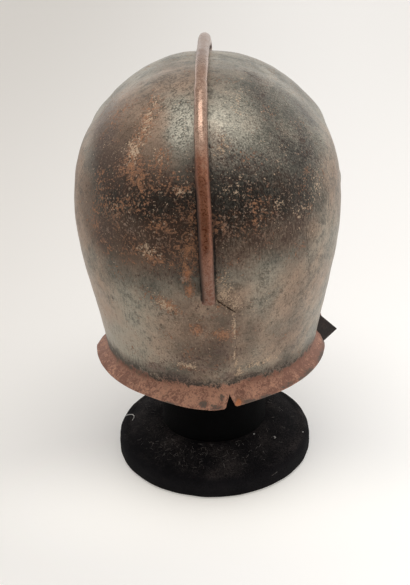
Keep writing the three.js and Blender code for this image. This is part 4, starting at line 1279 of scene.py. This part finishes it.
def standPieces():
    rows = (
        ("standBase", "stand_base", baseProfile(), 160, 0.12, baseFelt),
        ("standNeck", "stand_neck", neckProfile(), 120, 0.1, shadedNeckFelt),
        ("standPost", "stand_post", postProfile(), 64, 0.05, shadedNeckFelt),
    )
    for name, node, profile, sides, wobble, felt in rows:
        points, faces = turned(profile, sides, wobble, 71)
        points[:, 2] = np.maximum(points[:, 2], 0)
        piece = makePiece(name, points, faces, 50)
        weld(piece)
        piece.data.materials.append(felt)
        if node == "stand_base":
            joinInto(piece, *lintPieces())
        settle(piece, 50)
        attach(piece, "skull_and_stand")
        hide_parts(node)


standPieces()
print("stand done")


# Camera, floor and light

camera = {
    "side": 0.0263, "away": 0.7620, "high": 0.53007, "turn": 1.978, "down": 26.722, "roll": 1.532,
    "lens": 63.867, "shift": -0.00994,
}


def addCamera():
    lensData = bpy.data.cameras.new("camera")
    lensData.lens = camera["lens"]
    lensData.sensor_width = 36
    lensData.shift_x = camera["shift"]
    turn, down, roll = (math.radians(camera[key]) for key in ("turn", "down", "roll"))
    right = Vector((math.cos(turn), math.sin(turn), 0))
    ahead = Vector((-math.sin(turn) * math.cos(down), math.cos(turn) * math.cos(down), -math.sin(down)))
    up = right.cross(ahead)
    rolledRight = right * math.cos(roll) - up * math.sin(roll)
    rolledUp = right * math.sin(roll) + up * math.cos(roll)
    rig = bpy.data.objects.new("camera", lensData)
    facing = Matrix((rolledRight, rolledUp, -ahead)).transposed().to_4x4()
    rig.matrix_world = Matrix.Translation((camera["side"], -camera["away"], camera["high"])) @ facing
    bpy.context.scene.collection.objects.link(rig)
    bpy.context.scene.camera = rig


floorFinish = {
    "half": 6000, "nearY": -800, "farY": 6000, "z": -0.4,
    # Painted light: the floor's colour is darker on the left and paler in front, and it glows, more on the
    # right, in front and around the stand, where it lifts the stand's shadow.
    "leftTone": (0.74, 0.71, 0.675), "rightTone": (0.97, 0.95, 0.93), "nearTone": (0.985, 0.97, 0.95),
    "leftGlow": (0.02, 0.02, 0.02), "rightGlow": (0.17, 0.17, 0.17), "standGlow": (0.36, 0.345, 0.315),
}


def addFloor(look):
    half, nearY, farY, z = (look[key] for key in ("half", "nearY", "farY", "z"))
    corners = [(-half, nearY, z), (half, nearY, z), (half, farY, z), (-half, farY, z)]
    floor = makePiece("floor", corners, [[0, 1, 2, 3]])
    material, wire = startMaterial("paleFloor")
    place = placeOf(wire)
    across, depth = axesOf(wire, place)[:2]
    near = 1 - depth.step(-0.15, 0.45)
    # Painted light and shade: darker to the left, paler in front.
    tone = across.step(-0.6, 0.35).mix(look["leftTone"], look["rightTone"])
    tone = (near * (across.step(-0.4, 0.2) * 0.65 + 0.2)).mix(tone, look["nearTone"])
    # Painted light: a glow, stronger on the right and in front, and around the stand to lift its shadow.
    lit = across.step(-0.35, 0.3).mix(look["leftGlow"], look["rightGlow"])
    lit = (near * 0.7 + 0.3).mix((0, 0, 0), lit)
    ahead = wire.node("Mapping", {}, {"Vector": place, "Location": (0, 0.085, 0), "Scale": (0.45, 1, 1)})
    reach = wire.node("VectorMath", {"operation": "LENGTH"}, {0: ahead}, 1)
    lit = (1 - reach.step(0.0, 0.11)).mix(lit, look["standGlow"])
    sockets = {"Base Color": tone, "Emission Color": lit, "Emission Strength": 1.0,
               "Roughness": 0.6, "Specular IOR Level": 0.2}
    floor.data.materials.append(finishMaterial(material, wire, sockets))


def addLight(name, place, aim, size, power):
    panel = bpy.data.lights.new(name, "AREA")
    panel.shape = "RECTANGLE"
    panel.size, panel.size_y = size
    panel.energy = power
    lamp = bpy.data.objects.new(name, panel)
    lamp.location = place
    lamp.rotation_euler = (Vector(aim) - Vector(place)).to_track_quat("-Z", "Y").to_euler()
    bpy.context.scene.collection.objects.link(lamp)


def addSurround():
    world = bpy.data.worlds.new("surround")
    bpy.context.scene.world = world
    world.use_nodes = True
    tree = world.node_tree
    tree.nodes.clear()
    wire = Wire(tree)
    way = wire.node("TexCoord", {}, {}, 0)
    across, ahead, up = axesOf(wire, way)
    dim = (ahead * -1).step(0.1, 0.6) * (1 - up.step(0.45, 0.8))
    seen = wire.node("LightPath", {}, {}, 0)
    tent = across.step(-1, 1).mix((0.78, 0.76, 0.73), (1.0, 0.99, 0.97))
    glow = ahead.step(-0.25, 0.75) * (1 - up.step(0.05, 0.4)) * 0.6
    tent = glow.mix(tent, (1.6, 1.57, 1.53))
    shade = (dim * (1 - seen)).mix(tent, (0.05, 0.05, 0.052))
    background = wire.node("Background", {}, {"Color": shade, "Strength": 1.06})
    wire.node("OutputWorld", {}, {"Surface": background})


addCamera()
addFloor(floorFinish)
addLight("overhead", (0.0, -0.07, 1.3), (0, -0.05, 0.24), (0.95, 0.5), 3.7)
addSurround()
bpy.context.scene.view_settings.view_transform = "Standard"
print("stage done")
